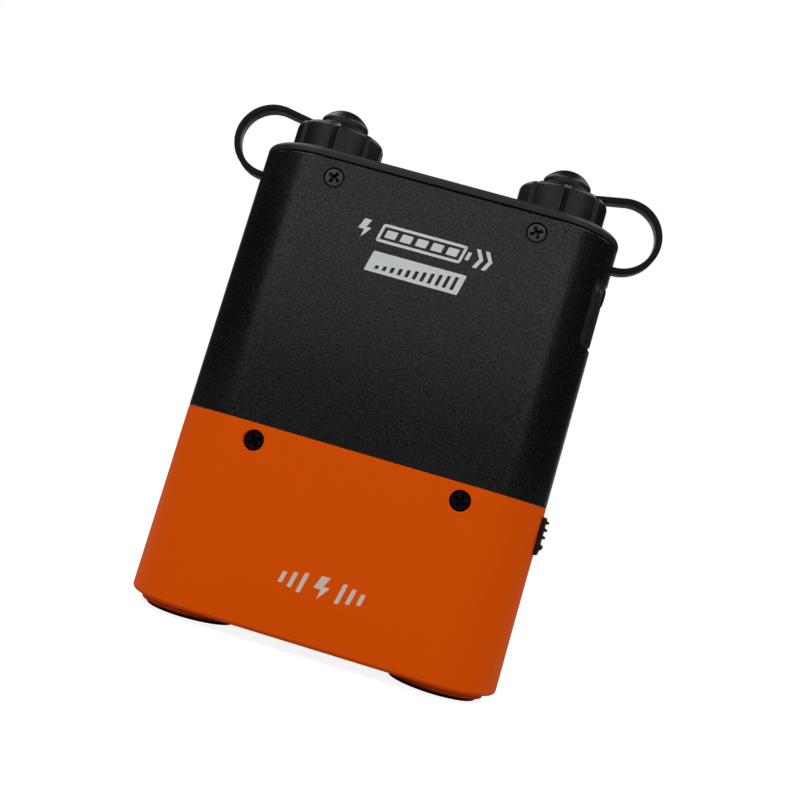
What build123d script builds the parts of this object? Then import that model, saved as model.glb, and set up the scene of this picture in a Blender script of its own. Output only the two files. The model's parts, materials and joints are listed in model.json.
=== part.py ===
from build123d import *
import math
import os

os.makedirs("parts", exist_ok=True)

# A two-part portable flash battery pack that stands on its feet.
# Below is the detachable battery, a coloured cup closed by a lid. Above is the power unit,
# a black sleeve with a screwed top cover, two capped output sockets and a side panel.
# Millimetres. +Z is up, the front faces -Y, and the origin is the centre of the base.

# ---- Driving dimensions ----
body_width = 100.0          # X, over the full-round sides
body_depth = 37.0           # Y, front to back
wall = 2.0
case_height = 50.0          # battery cup, without its feet
sleeve_height = 71.4        # power unit sleeve
edge_round = 1.2            # outer edges of the cup's bottom and of the top cover
seam_chamfer = 0.3          # both edges of the joint between battery and power unit

# Clearances
fit_gap = 0.15              # between fixed pieces
slide_gap = 0.3             # between pieces that move past each other
pin_gap = 0.05              # radial, hinge pin in its knuckle
touch_gap = 0.05            # radial, screws and pins in their own holes

# Feet
foot_inset = 16.5           # foot centre from the side of the body
foot_diameter = 27.0
foot_boss_height = 1.8
foot_rim = 1.4
foot_pad_height = 1.8
foot_pad_seat = 0.8         # how deep the pad sits in its boss

# Screws through the front and back walls
screw_inset = 22.8          # from the side of the body
screw_head_diameter = 5.4
screw_head_height = 1.3
screw_shank_diameter = 3.0
screw_shank_length = 5.0
cross_length = 3.4
cross_width = 0.75
cross_depth = 0.9
upper_screw_drop = 4.7      # below the top of the sleeve
battery_screw_drop = 4.45   # below the top of the cup
screw_boss_width = 8.4
screw_boss_depth = 4.4
battery_head_sink = 1.1     # how far the battery's heads sit inside the wall's inner face

# Battery lid and its spigot, which enters the bottom of the sleeve
spigot_height = 2.4
lid_thickness = 2.2
lid_skirt = 1.8
lid_skirt_drop = 9.0        # below the top of the cup

# Cells
cell_count = 3
cell_side_room = 11.0       # from the cells to the inside of the round sides
cell_floor_gap = 1.4
cell_foam_thickness = 1.0
cell_height = 35.0
tab_width = 6.0
tab_thickness = 0.3
tab_offset = 24.0

# Protection board on the cells, and the battery's terminals
board_thickness = 1.6
protection_board_width = 70.0
protection_board_depth = 20.0
terminal_width = 34.0
terminal_depth = 10.0
blade_count = 4
blade_pitch = 8.0
blade_width = 5.4
blade_thickness = 0.8
blade_reach = 5.6           # below the underside of the dock plate
contact_leaf = 0.35
contact_side_gap = 0.1
jack_inset = 16.0           # charge jack from the side of the body
jack_diameter = 8.4
jack_bore = 5.6
jack_bore_depth = 7.0
jack_pin_diameter = 2.1

# Latch on the right side of the battery
latch_top_drop = 2.2        # below the top of the cup
latch_height = 10.2
latch_half_width = 6.0
latch_plate = 0.8
latch_rib_pitch = 2.0
latch_rib_height = 0.75
latch_rib_thickness = 0.6
latch_travel = 3.0
latch_stem_height = 3.0
latch_stem_half_width = 1.8
latch_hook_inset = 4.8      # outer face of the hook from the side of the body
latch_hook_thickness = 2.2
latch_hook_half_width = 3.0
latch_hook_engage = 1.6     # above the underside of the dock plate
spring_diameter = 2.6
spring_wire = 0.4
spring_turns = 6
spring_length = 7.0
spring_seat_thickness = 2.0

# Top cover and gasket
gasket_thickness = 0.4
gasket_recess = 0.7
cover_thickness = 2.4
cover_skirt = 1.8
cover_skirt_drop = 8.6      # below the top of the sleeve

# Dock plate
dock_plate_thickness = 2.0
dock_plug_height = 5.0

# Output sockets
socket_inset = 18.0         # socket centre from the side of the body
socket_neck_diameter = 17.6
socket_neck_height = 6.5    # above the top cover
socket_flange_diameter = 21.0
socket_flange_thickness = 2.0
socket_barrel_diameter = 15.6
socket_barrel_length = 5.4
socket_bore = 13.2
socket_depth = 8.0
socket_insert_length = 6.0
pin_count = 3
pin_diameter = 1.6
pin_circle_radius = 4.2
pin_height = 5.5            # above the socket's floor

# Screw caps on the sockets
cap_diameter = 24.8
cap_wall_top = 1.8
cap_base_gap = 0.6          # above the top cover
cap_lobes = 8
cap_groove_radius = 0.8
cap_top_round = 2.0
seal_thickness = 1.0
hub_diameter = 9.0
hub_head_diameter = 13.4
hub_head_height = 4.9

# Tethers of the caps
tether_width = 4.0
tether_thickness = 1.7
tether_ring_diameter = 15.0
tether_ring_height = 1.8
tether_loop_radius = 9.8
tether_loop_overhang = 0.3  # loop centre outside the side of the body
tether_slot_drop = 4.1      # where the band enters, below the top of the sleeve
tether_anchor_width = 7.0
tether_anchor_height = 4.6
tether_anchor_depth = 1.4

# Side panel, on the right of the power unit
panel_top_drop = 9.0        # below the top of the sleeve
panel_height = 19.2
panel_half_width = 12.0
panel_corner = 2.0
panel_recess = 0.6
panel_thickness = 2.75
panel_flange = 1.6
button_diameter = 5.2
button_drop = 3.2           # centre below the panel's top
button_proud = 0.5
button_flange_diameter = 7.0
button_flange_thickness = 1.3
button_travel = 0.8
button_stem_diameter = 3.0
button_stem_length = 2.1
lens_diameter = 1.8
lens_offsets = (-9.2, -6.4, 6.4, 9.2)
cover_half_width = 8.0
cover_height = 10.8
cover_lift = 1.9            # cover's lower edge above the panel's
cover_shell = 1.2
cover_proud = 0.3
hinge_y = 7.8
hinge_inset = 2.9           # hinge axis from the side of the body
knuckle_diameter = 2.2
hinge_pin_diameter = 1.0
hinge_pin_overhang = 1.2
usb_width = 13.2
usb_height = 5.7
usb_depth = 8.0
usb_shell_wall = 0.35
usb_tongue_width = 11.2
usb_tongue_thickness = 1.8
usb_front_inset = 3.1       # front of the port from the side of the body
control_board_half_width = 11.0
switch_size = 6.0
switch_gap = 0.1            # left between stem and switch when pressed

# Main board and what it carries
main_board_front = 7.4      # Y of its front face
main_board_side_room = 8.0
main_board_end_gap = 2.2
control_room = 14.0         # kept free behind the right side for the panel
board_post_size = 7.0
board_post_height = 9.0
board_screw_edge = 3.6      # screw centre from the board's edge
lower_post_offset = 28.0
upper_post_offset = 14.0
board_screw_head = 4.4
board_screw_shank = 2.4
capacitor_diameter = 16.0
capacitor_length = 33.0
capacitor_gap = 3.0
transistor_count = 4
transistor_size = (10.0, 4.2, 7.0)
sink_base = 2.0
sink_height = 6.0
sink_fins = 9
sink_fin_thickness = 1.4
core_size = (26.0, 16.0, 18.4)
core_leg = 4.4
core_offset = 17.0
core_leg_diameter = 6.0
winding_diameter = 15.0

# ---- Derived places ----
side_x = body_width / 2
side_radius = body_depth / 2
side_centre = side_x - side_radius
inner_width = body_width - 2 * wall
inner_depth = body_depth - 2 * wall
inner_radius = side_radius - wall
front_y = body_depth / 2
inner_front_y = inner_depth / 2

cup_bottom = foot_pad_height - foot_pad_seat + foot_boss_height
seam_z = cup_bottom + case_height
sleeve_top = seam_z + sleeve_height
cover_bottom = sleeve_top + gasket_thickness
cover_top = cover_bottom + cover_thickness

spigot_top = seam_z + spigot_height
dock_bottom = spigot_top + slide_gap
dock_top = dock_bottom + dock_plate_thickness
skirt_bottom = sleeve_top - cover_skirt_drop

foot_x = side_x - foot_inset
screw_x = side_x - screw_inset
socket_x = side_x - socket_inset
jack_x = side_x - jack_inset

cells_bottom = cup_bottom + wall + cell_floor_gap
cells_top = cells_bottom + cell_height
cell_width = inner_width - 2 * cell_side_room
foam_count = cell_count + 1
cell_thickness = (inner_depth - foam_count * cell_foam_thickness) / cell_count
cell_pitch = cell_thickness + cell_foam_thickness
protection_board_bottom = seam_z - lid_skirt_drop + 0.6
protection_board_top = protection_board_bottom + board_thickness

socket_mouth = cover_top + socket_neck_height
socket_floor = socket_mouth - socket_depth
cap_bottom = cover_top + cap_base_gap
seal_bottom = socket_mouth + slide_gap
cap_inner_top = seal_bottom + seal_thickness
cap_top = cap_inner_top + cap_wall_top
ring_bottom = cap_top + slide_gap
ring_top = ring_bottom + tether_ring_height
head_bottom = ring_top + slide_gap
overall_height = head_bottom + hub_head_height

panel_top = sleeve_top - panel_top_drop
panel_bottom = panel_top - panel_height
button_z = panel_top - button_drop
cover_low = panel_bottom + cover_lift
cover_high = cover_low + cover_height
port_z = (cover_low + cover_high) / 2
panel_face_radius = side_radius - panel_recess
panel_back_radius = panel_face_radius - panel_thickness
hinge_x = side_x - hinge_inset
board_x = side_x - usb_front_inset - usb_depth

tether_loop_x = side_x + tether_loop_overhang
tether_slot_z = sleeve_top - tether_slot_drop
tether_loop_z = tether_slot_z + tether_loop_radius

main_board_bottom = dock_top + main_board_end_gap
main_board_top = skirt_bottom - main_board_end_gap
main_board_back = main_board_front + board_thickness
main_board_left = -(inner_width / 2 - main_board_side_room)
main_board_right = inner_width / 2 - control_room
main_board_centre = (main_board_left + main_board_right) / 2


# ---- Plain shapes ----
def block(x0, x1, y0, y1, z0, z1):
    """A box between two corners."""
    size = Box(x1 - x0, y1 - y0, z1 - z0)
    return Pos((x0 + x1) / 2, (y0 + y1) / 2, (z0 + z1) / 2) * size


def stadium(width, depth, z0, z1):
    """An upright prism with flat front and back and full-round sides."""
    return Pos(0, 0, z0) * extrude(SlotOverall(width, depth), z1 - z0)


def post(x, y, z0, z1, diameter):
    """An upright round bar."""
    return Pos(x, y, (z0 + z1) / 2) * Cylinder(diameter / 2, z1 - z0)


def rod_along_x(x0, x1, y, z, diameter):
    return Pos((x0 + x1) / 2, y, z) * Rot(0, 90, 0) * Cylinder(diameter / 2, x1 - x0)


def rod_along_y(x, y0, y1, z, diameter):
    return Pos(x, (y0 + y1) / 2, z) * Rot(90, 0, 0) * Cylinder(diameter / 2, y1 - y0)


def side_sector(r_in, r_out, half_width, z0, z1):
    """A strip of the right-hand round side between two radii."""
    ring = post(side_centre, 0, z0, z1, 2 * r_out) - post(side_centre, 0, z0, z1, 2 * r_in)
    keep = block(side_centre, side_x + 10, -half_width, half_width, z0, z1)
    return ring & keep


def edges_at(shape, z):
    """The edges of a shape that lie wholly at one height."""
    return shape.edges().filter_by_position(Axis.Z, z - 0.001, z + 0.001)


def outer_edges_at(shape, z):
    """The longest loop of edges at one height."""
    face = shape.faces().filter_by_position(Axis.Z, z - 0.001, z + 0.001).sort_by(SortBy.AREA)[-1]
    return face.outer_wire().edges()


def mirrored(shape):
    """The same piece on the left of the body."""
    return mirror(shape, about=Plane.YZ)


def both_sides(shape):
    return [shape, mirrored(shape)]


def group(shapes):
    """Separate solids in one node."""
    return Compound(children=[s for shape in shapes for s in shape.solids()])


def wall_screw(head_face):
    """A cross-recess screw that points along -Z from its head's outer face at z = head_face."""
    head_low = head_face - screw_head_height
    head = post(0, 0, head_low, head_face, screw_head_diameter)
    shank = post(0, 0, head_low - screw_shank_length, head_low, screw_shank_diameter)
    cut = head_face - cross_depth
    slot = block(-cross_length / 2, cross_length / 2, -cross_width / 2, cross_width / 2, cut, head_face)
    return head + shank - slot - Rot(0, 0, 90) * slot


def around_walls(shape, z):
    """Four copies of a shape made along +Z, laid at the screw places in front and behind."""
    copies = []
    for x in (-screw_x, screw_x):
        copies.append(Pos(x, 0, z) * Rot(90, 0, 0) * shape)
        copies.append(Pos(x, 0, z) * Rot(-90, 0, 0) * shape)
    return copies


def screw_bosses(outer_y, z0, z1):
    """Four blocks behind the skirt of a lid that the wall screws enter."""
    half = screw_boss_width / 2
    bosses = []
    for x in (-screw_x, screw_x):
        for low, high in ((outer_y - screw_boss_depth, outer_y), (-outer_y, screw_boss_depth - outer_y)):
            bosses.append(block(x - half, x + half, low, high, z0, z1))
    return bosses


# ---- Battery ----
def battery_case():
    cup = stadium(body_width, body_depth, cup_bottom, seam_z)
    cup = fillet(outer_edges_at(cup, cup_bottom), edge_round)
    cup = chamfer(outer_edges_at(cup, seam_z), seam_chamfer)
    cup -= stadium(inner_width, inner_depth, cup_bottom + wall, seam_z)
    boss_low = cup_bottom - foot_boss_height
    seat_top = boss_low + foot_pad_seat
    for x in (-foot_x, foot_x):
        cup += post(x, 0, boss_low, cup_bottom, foot_diameter)
        cup -= post(x, 0, boss_low, seat_top, foot_diameter - 2 * foot_rim)
    hole = screw_head_diameter + 2 * touch_gap
    for cut in around_walls(post(0, 0, inner_front_y - 1, front_y + 1, hole), battery_screw_z):
        cup -= cut
    seat_y = latch_hook_half_width
    seat_low = spring_bottom - spring_seat_thickness
    cup += block(hook_inner_x - 0.5, side_x - wall / 2, -seat_y, seat_y, seat_low, spring_bottom)
    slot_y = latch_stem_half_width + slide_gap
    cup -= block(side_x - 2 * wall, side_x + 1, -slot_y, slot_y, stem_low - latch_travel - slide_gap,
                 stem_high + slide_gap)
    return cup


def foot_pads():
    diameter = foot_diameter - 2 * foot_rim - 2 * fit_gap
    return group([post(x, 0, 0, foot_pad_height, diameter) for x in (-foot_x, foot_x)])


def battery_lid():
    outer_width = inner_width - 2 * slide_gap
    outer_depth = inner_depth - 2 * slide_gap
    low = seam_z - lid_skirt_drop
    lid = stadium(outer_width, outer_depth, low, spigot_top)
    lid -= stadium(outer_width - 2 * lid_skirt, outer_depth - 2 * lid_skirt, low,
                   spigot_top - lid_thickness)
    for boss in screw_bosses(outer_depth / 2, low, seam_z + 0.5):
        lid += boss
    seat = inner_front_y - battery_head_sink
    hole = screw_shank_diameter + 2 * touch_gap
    head = screw_head_diameter + 2 * touch_gap
    tip = seat - screw_shank_length - 0.5
    for cut in around_walls(post(0, 0, tip, front_y, hole), battery_screw_z):
        lid -= cut
    for cut in around_walls(post(0, 0, seat, front_y, head), battery_screw_z):
        lid -= cut
    half_x = terminal_width / 2 + fit_gap
    half_y = terminal_depth / 2 + fit_gap
    lid -= block(-half_x, half_x, -half_y, half_y, low, spigot_top)
    lid -= post(-jack_x, 0, low, spigot_top, jack_diameter + 2 * fit_gap)
    hook_y = latch_hook_half_width + slide_gap
    lid -= block(hook_inner_x - slide_gap, hook_outer_x + slide_gap, -hook_y, hook_y, low, spigot_top)
    stem_y = latch_stem_half_width + slide_gap
    lid -= block(hook_outer_x, side_x, -stem_y, stem_y, low, stem_high + slide_gap)
    return lid


def battery_screws():
    face = inner_front_y - battery_head_sink + screw_head_height
    return group(around_walls(wall_screw(face), battery_screw_z))


def cell(index):
    y = (index - (cell_count - 1) / 2) * cell_pitch
    half = cell_thickness / 2
    pouch = block(-cell_width / 2, cell_width / 2, y - half, y + half, cells_bottom, cells_top)
    return fillet(pouch.edges().filter_by(Axis.Z), 1.5)


def cell_foam():
    sheets = []
    margin = 4.0
    for index in range(foam_count):
        y = (index - cell_count / 2) * cell_pitch
        half = cell_foam_thickness / 2
        width = 2 * side_centre - margin
        sheets.append(block(-width / 2, width / 2, y - half, y + half, cells_bottom + 1, cells_top - 1))
    return group(sheets)


def cell_tabs():
    tabs = []
    for index in range(cell_count):
        y = (index - (cell_count - 1) / 2) * min(cell_pitch, (protection_board_depth - 2) / cell_count)
        low_y, high_y = y - tab_thickness / 2, y + tab_thickness / 2
        for x in (-tab_offset, tab_offset):
            tabs.append(block(x - tab_width / 2, x + tab_width / 2, low_y, high_y, cells_top,
                              protection_board_bottom))
    return group(tabs)


def protection_board():
    half_x = protection_board_width / 2
    half_y = protection_board_depth / 2
    return block(-half_x, half_x, -half_y, half_y, protection_board_bottom, protection_board_top)


def protection_parts():
    """Transistors in a row on each side of the terminals, with the balance chip and a fuse."""
    parts = []
    for x in (20.5, 27.0):
        for y in (-6.0, 0.0, 6.0):
            parts.append(block(x, x + 5.0, y - 2, y + 2, protection_board_top, protection_board_top + 1.6))
    parts.append(block(-27.0, -20.0, -2.5, 2.5, protection_board_top, protection_board_top + 1.4))
    parts.append(block(-28.0, -20.0, 4.5, 8.0, protection_board_top, protection_board_top + 2.4))
    return group(parts)


def blade_places():
    return [(index - (blade_count - 1) / 2) * blade_pitch for index in range(blade_count)]


def battery_socket_block():
    half_x = terminal_width / 2
    half_y = terminal_depth / 2
    body = block(-half_x, half_x, -half_y, half_y, protection_board_top, spigot_top)
    slot_x = blade_thickness / 2 + contact_side_gap + contact_leaf + touch_gap
    slot_y = blade_width / 2 + slide_gap
    for x in blade_places():
        body -= block(x - slot_x, x + slot_x, -slot_y, slot_y, contact_low, spigot_top)
    return body


def battery_contacts():
    """Spring clips, each with a leaf on both sides of its blade."""
    clips = []
    inner = blade_thickness / 2 + contact_side_gap
    outer = inner + contact_leaf
    half_y = blade_width / 2
    for x in blade_places():
        clip = block(x - outer, x + outer, -half_y, half_y, contact_low, spigot_top - 0.8)
        clip -= block(x - inner, x + inner, -half_y, half_y, contact_low + contact_leaf, spigot_top)
        clips.append(clip)
    return group(clips)


def charge_jack():
    low = spigot_top - jack_bore_depth - 1.5
    body = post(-jack_x, 0, low, spigot_top, jack_diameter)
    return body - post(-jack_x, 0, spigot_top - jack_bore_depth, spigot_top, jack_bore)


def charge_jack_pin():
    return post(-jack_x, 0, spigot_top - jack_bore_depth, spigot_top - 1.0, jack_pin_diameter)


def latch_slider():
    """Ribbed thumb plate over the side, a stem through the wall and a hook that rises into the dock."""
    low = latch_top - latch_height
    inner = side_radius + slide_gap
    outer = inner + latch_plate
    plate = side_sector(inner, outer, latch_half_width, low, latch_top)
    rib_outer = outer + latch_rib_height
    rib_half_width = latch_half_width - 1
    ribs = [latch_top - 1.2 - latch_rib_pitch * index for index in range(3)]
    for z in ribs:
        half = latch_rib_thickness / 2
        plate += side_sector(outer - 0.1, rib_outer, rib_half_width, z - half, z + half)
    plate += side_sector(outer - 0.1, rib_outer, rib_half_width, low + 1.4, low + 3.0)
    half_y = latch_stem_half_width
    plate += block(hook_inner_x, side_x + slide_gap + latch_plate / 2, -half_y, half_y, stem_low, stem_high)
    hook_y = latch_hook_half_width
    plate += block(hook_inner_x, hook_outer_x, -hook_y, hook_y, spring_bottom + spring_length,
                   dock_bottom + latch_hook_engage)
    return plate


def latch_spring():
    radius = (spring_diameter - spring_wire) / 2
    rise = spring_length - spring_wire
    path = Helix(rise / spring_turns, rise, radius)
    wire = sweep(Plane(path @ 0, z_dir=path % 0) * Circle(spring_wire / 2), path=path, is_frenet=True)
    x = (hook_inner_x + hook_outer_x) / 2
    return Pos(x, 0, spring_bottom + spring_wire / 2) * wire


# ---- Power unit ----
def upper_sleeve():
    tube = stadium(body_width, body_depth, seam_z, sleeve_top)
    tube = chamfer(outer_edges_at(tube, seam_z), seam_chamfer)
    tube -= stadium(inner_width, inner_depth, seam_z, sleeve_top)
    head_hole = screw_head_diameter + 2 * touch_gap
    shank_hole = screw_shank_diameter + 2 * touch_gap
    for cut in around_walls(post(0, 0, inner_front_y - 1, front_y + 1, shank_hole), upper_screw_z):
        tube -= cut
    for cut in around_walls(post(0, 0, front_y - screw_head_height, front_y + 1, head_hole), upper_screw_z):
        tube -= cut
    for slot in both_sides(tether_slot(2 * wall)):
        tube -= slot
    window = block(side_centre, side_x + 1, -panel_half_width, panel_half_width, panel_bottom, panel_top)
    window = fillet(window.edges().filter_by(Axis.X), panel_corner)
    return tube - window


def tether_slot(depth):
    """The way through the right-hand wall for a tether's end."""
    half_y = tether_width / 2 + fit_gap
    half_z = tether_thickness / 2 + fit_gap
    return block(side_x - depth, side_x + 1, -half_y, half_y, tether_slot_z - half_z,
                 tether_slot_z + half_z)


def top_gasket():
    outer = stadium(body_width - 2 * gasket_recess, body_depth - 2 * gasket_recess, sleeve_top,
                    cover_bottom)
    return outer - stadium(inner_width + 0.4, inner_depth + 0.4, sleeve_top, cover_bottom)


def top_cover():
    cover = stadium(body_width, body_depth, cover_bottom, cover_top)
    cover = fillet(outer_edges_at(cover, cover_top), edge_round)
    skirt_width = inner_width - 2 * fit_gap
    skirt_depth = inner_depth - 2 * fit_gap
    skirt = stadium(skirt_width, skirt_depth, skirt_bottom, cover_bottom)
    skirt -= stadium(skirt_width - 2 * cover_skirt, skirt_depth - 2 * cover_skirt, skirt_bottom,
                     cover_bottom)
    cover += skirt
    for boss in screw_bosses(skirt_depth / 2, skirt_bottom, cover_bottom):
        cover += boss
    tip = front_y - screw_head_height - screw_shank_length - 0.5
    hole = screw_shank_diameter + 2 * touch_gap
    for cut in around_walls(post(0, 0, tip, front_y, hole), upper_screw_z):
        cover -= cut
    for slot in both_sides(tether_slot(2 * wall + cover_skirt)):
        cover -= slot
    for x in (-socket_x, socket_x):
        cover -= post(x, 0, cover_bottom, cover_top, socket_neck_diameter + 2 * fit_gap)
    post_back = main_board_back + board_post_size - 1
    for x in upper_post_places():
        half = board_post_size / 2
        cover += block(x - half, x + half, main_board_back, post_back, main_board_top - board_post_height,
                       cover_bottom)
    for cut in board_screw_holes(upper_post_places(), main_board_top - board_screw_edge):
        cover -= cut
    return cover


def upper_screws():
    return group(around_walls(wall_screw(front_y), upper_screw_z))


def upper_post_places():
    return (-upper_post_offset, upper_post_offset)


def lower_post_places():
    return (main_board_centre - lower_post_offset, main_board_centre + lower_post_offset)


def board_screw_holes(places, z):
    hole = board_screw_shank + 2 * touch_gap
    return [rod_along_y(x, main_board_front - 1, main_board_back + 5.0, z, hole) for x in places]


def dock_plate():
    """Floor of the power unit, with posts for the main board and ways through for plug and latch."""
    width = inner_width - 2 * fit_gap
    depth = inner_depth - 2 * fit_gap
    plate = stadium(width, depth, dock_bottom, dock_top)
    skirt = stadium(width, depth, dock_top, dock_top + 4)
    plate += skirt - stadium(width - 2 * cover_skirt, depth - 2 * cover_skirt, dock_top, dock_top + 4)
    half_x = terminal_width / 2
    half_y = terminal_depth / 2
    plate -= block(-half_x, half_x, -half_y, half_y, dock_bottom, dock_top)
    keeper_y = latch_hook_half_width + 2 * slide_gap
    plate -= block(hook_inner_x - 2 * slide_gap, hook_outer_x + slide_gap, -keeper_y, keeper_y,
                   dock_bottom, dock_top)
    plate -= post(-jack_x, 0, dock_bottom, dock_top, jack_bore)
    top = main_board_bottom + board_post_height
    post_back = main_board_back + board_post_size - 1
    for x in lower_post_places():
        half = board_post_size / 2
        plate += block(x - half, x + half, main_board_back, post_back, dock_top - 0.5, top)
    for cut in board_screw_holes(lower_post_places(), main_board_bottom + board_screw_edge):
        plate -= cut
    return plate


def dock_plug():
    half_x = terminal_width / 2
    half_y = terminal_depth / 2
    plug = block(-half_x, half_x, -half_y, half_y, dock_bottom, dock_bottom + dock_plug_height)
    for blade in blades():
        plug -= blade
    return plug


def blades():
    top = dock_bottom + dock_plug_height - 1.0
    half_x = blade_thickness / 2
    half_y = blade_width / 2
    low = dock_bottom - blade_reach
    return [block(x - half_x, x + half_x, -half_y, half_y, low, top) for x in blade_places()]


def main_board():
    board = block(main_board_left, main_board_right, main_board_front, main_board_back, main_board_bottom,
                  main_board_top)
    holes = board_screw_holes(upper_post_places(), main_board_top - board_screw_edge)
    holes += board_screw_holes(lower_post_places(), main_board_bottom + board_screw_edge)
    for cut in holes:
        board -= cut
    return board


def board_screws():
    screws = []
    rows = [(upper_post_places(), main_board_top - board_screw_edge),
            (lower_post_places(), main_board_bottom + board_screw_edge)]
    for places, z in rows:
        for x in places:
            head = rod_along_y(x, main_board_front - 1.6, main_board_front, z, board_screw_head)
            shank = rod_along_y(x, main_board_front, main_board_back + 4.5, z, board_screw_shank)
            screws.append(head + shank)
    return group(screws)


def capacitors():
    radius = capacitor_diameter / 2
    y = main_board_front - radius - 2.0
    cans = []
    for side in (-1, 1):
        near = main_board_centre + side * capacitor_gap / 2
        far = near + side * capacitor_length
        can = rod_along_x(min(near, far), max(near, far), y, capacitor_z, capacitor_diameter)
        cans.append(fillet(can.edges(), 0.8))
    return group(cans)


def transistors():
    width, height, depth = transistor_size
    step = sink_width / transistor_count
    bodies = []
    for index in range(transistor_count):
        x = main_board_centre + (index - (transistor_count - 1) / 2) * step
        bodies.append(block(x - width / 2, x + width / 2, main_board_front - depth, main_board_front,
                            sink_bottom - height, sink_bottom))
    return group(bodies)


def heat_sink():
    low = sink_bottom
    left = main_board_centre - sink_width / 2
    right = main_board_centre + sink_width / 2
    front = main_board_front - core_size[1]
    sink = block(left, right, front, main_board_front, low, low + sink_base)
    step = (sink_width - sink_fin_thickness) / (sink_fins - 1)
    for index in range(sink_fins):
        x = left + index * step
        sink += block(x, x + sink_fin_thickness, front, main_board_front, low + sink_base - 0.1,
                      low + sink_height)
    return sink


def transformer_places():
    return (main_board_centre - core_offset, main_board_centre + core_offset)


def transformer_cores():
    """Two ferrite frames, each open front to back with a round centre leg."""
    width, depth, height = core_size
    cores = []
    for x in transformer_places():
        back = main_board_front
        frame = block(x - width / 2, x + width / 2, back - depth, back, core_bottom, core_bottom + height)
        frame -= block(x - width / 2 + core_leg, x + width / 2 - core_leg, back - depth - 1, back + 1,
                       core_bottom + core_leg, core_bottom + height - core_leg)
        leg = post(x, back - depth / 2, core_bottom + core_leg - 0.1, core_bottom + height - core_leg + 0.1,
                   core_leg_diameter)
        cores.append(frame + leg)
    return group(cores)


def transformer_windings():
    depth, height = core_size[1:]
    low = core_bottom + core_leg + fit_gap
    high = core_bottom + height - core_leg - fit_gap
    y = main_board_front - depth / 2
    bore = core_leg_diameter + 2 * fit_gap
    return group([post(x, y, low, high, winding_diameter) - post(x, y, low, high, bore)
                  for x in transformer_places()])


def board_parts():
    """Small chips and connectors on the back of the main board."""
    parts = []
    for x, z, width, height, depth in (
        (main_board_centre - 8, 20.0, 10.0, 10.0, 1.4),
        (main_board_centre + 12, 22.0, 7.0, 5.0, 1.4),
        (main_board_centre + 12, 32.0, 5.0, 4.0, 2.2),
        (main_board_centre - 24, 30.0, 8.0, 6.0, 5.0),
        (main_board_centre + 28, 36.0, 8.0, 6.0, 5.0),
    ):
        low = main_board_bottom + z
        parts.append(block(x - width / 2, x + width / 2, main_board_back, main_board_back + depth,
                           low - height / 2, low + height / 2))
    return group(parts)


# ---- Side panel ----
def side_panel():
    body = side_sector(panel_back_radius, panel_face_radius, panel_half_width - fit_gap,
                       panel_bottom + fit_gap, panel_top - fit_gap)
    corners = block(side_centre, side_x + 1, fit_gap - panel_half_width, panel_half_width - fit_gap,
                    panel_bottom + fit_gap, panel_top - fit_gap)
    body &= fillet(corners.edges().filter_by(Axis.X), panel_corner - fit_gap)
    flange_out = inner_radius - fit_gap
    flange_top = min(panel_top, skirt_bottom - fit_gap)
    body += side_sector(panel_back_radius, flange_out, panel_half_width + panel_flange,
                        panel_bottom - panel_flange, flange_top)
    body -= rod_along_x(side_centre, side_x + 1, 0, button_z, button_diameter + 2 * slide_gap)
    for y in lens_offsets:
        body -= rod_along_x(side_centre, side_x + 1, y, button_z, lens_diameter + 2 * touch_gap)
    floor_radius = side_radius - cover_proud - cover_shell - slide_gap
    body -= side_sector(floor_radius, side_radius + 1, cover_half_width + slide_gap, cover_low - slide_gap,
                        cover_high + slide_gap)
    knuckle_room = knuckle_diameter + 2 * slide_gap
    body -= post(hinge_x, hinge_y, cover_low - slide_gap, cover_high + slide_gap, knuckle_room)
    pin_room = hinge_pin_diameter + 2 * touch_gap
    body -= post(hinge_x, hinge_y, cover_low - hinge_pin_overhang, cover_high + hinge_pin_overhang,
                 pin_room)
    half_y = usb_width / 2 + fit_gap
    half_z = usb_height / 2 + fit_gap
    return body - block(side_centre, side_x, -half_y, half_y, port_z - half_z, port_z + half_z)


def power_button():
    back = side_centre + panel_back_radius - slide_gap - 0.45
    face = side_centre + panel_face_radius + button_proud
    cap = rod_along_x(back - 0.1, face, 0, button_z, button_diameter)
    cap = fillet(cap.edges().sort_by(Axis.X)[-1], 0.4)
    flange = rod_along_x(back - button_flange_thickness, back, 0, button_z, button_flange_diameter)
    stem_end = back - button_flange_thickness - button_stem_length
    stem = rod_along_x(stem_end, back - button_flange_thickness, 0, button_z, button_stem_diameter)
    return cap + flange + stem


def power_switch():
    back = side_centre + panel_back_radius - slide_gap - 0.45
    front = back - button_flange_thickness - button_stem_length - button_travel - switch_gap
    half = switch_size / 2
    return block(board_x, front, -half, half, button_z - half, button_z + half)


def control_board():
    half_y = control_board_half_width
    return block(board_x - board_thickness, board_x, -half_y, half_y, panel_bottom + 0.5, panel_top)


def indicator_leds():
    return group([block(board_x, board_x + 1.0, y - 0.8, y + 0.8, button_z - 0.6, button_z + 0.6)
                  for y in lens_offsets])


def indicator_lenses():
    lenses = []
    for y in lens_offsets:
        face = side_centre + math.sqrt(panel_face_radius ** 2 - y ** 2) + 0.1
        lenses.append(rod_along_x(face - 5.0, face, y, button_z, lens_diameter))
    return group(lenses)


def usb_box(grow, front, back):
    half_y = usb_width / 2 + grow
    half_z = usb_height / 2 + grow
    return block(back, front, -half_y, half_y, port_z - half_z, port_z + half_z)


def usb_shell():
    front = side_x - usb_front_inset
    inner = usb_box(-usb_shell_wall, front, board_x + 1.5)
    return usb_box(0, front, board_x) - inner


def usb_tongue():
    front = side_x - usb_front_inset
    half_y = usb_tongue_width / 2
    return block(board_x + 1.5, front - 0.6, -half_y, half_y, port_z, port_z + usb_tongue_thickness)


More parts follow.
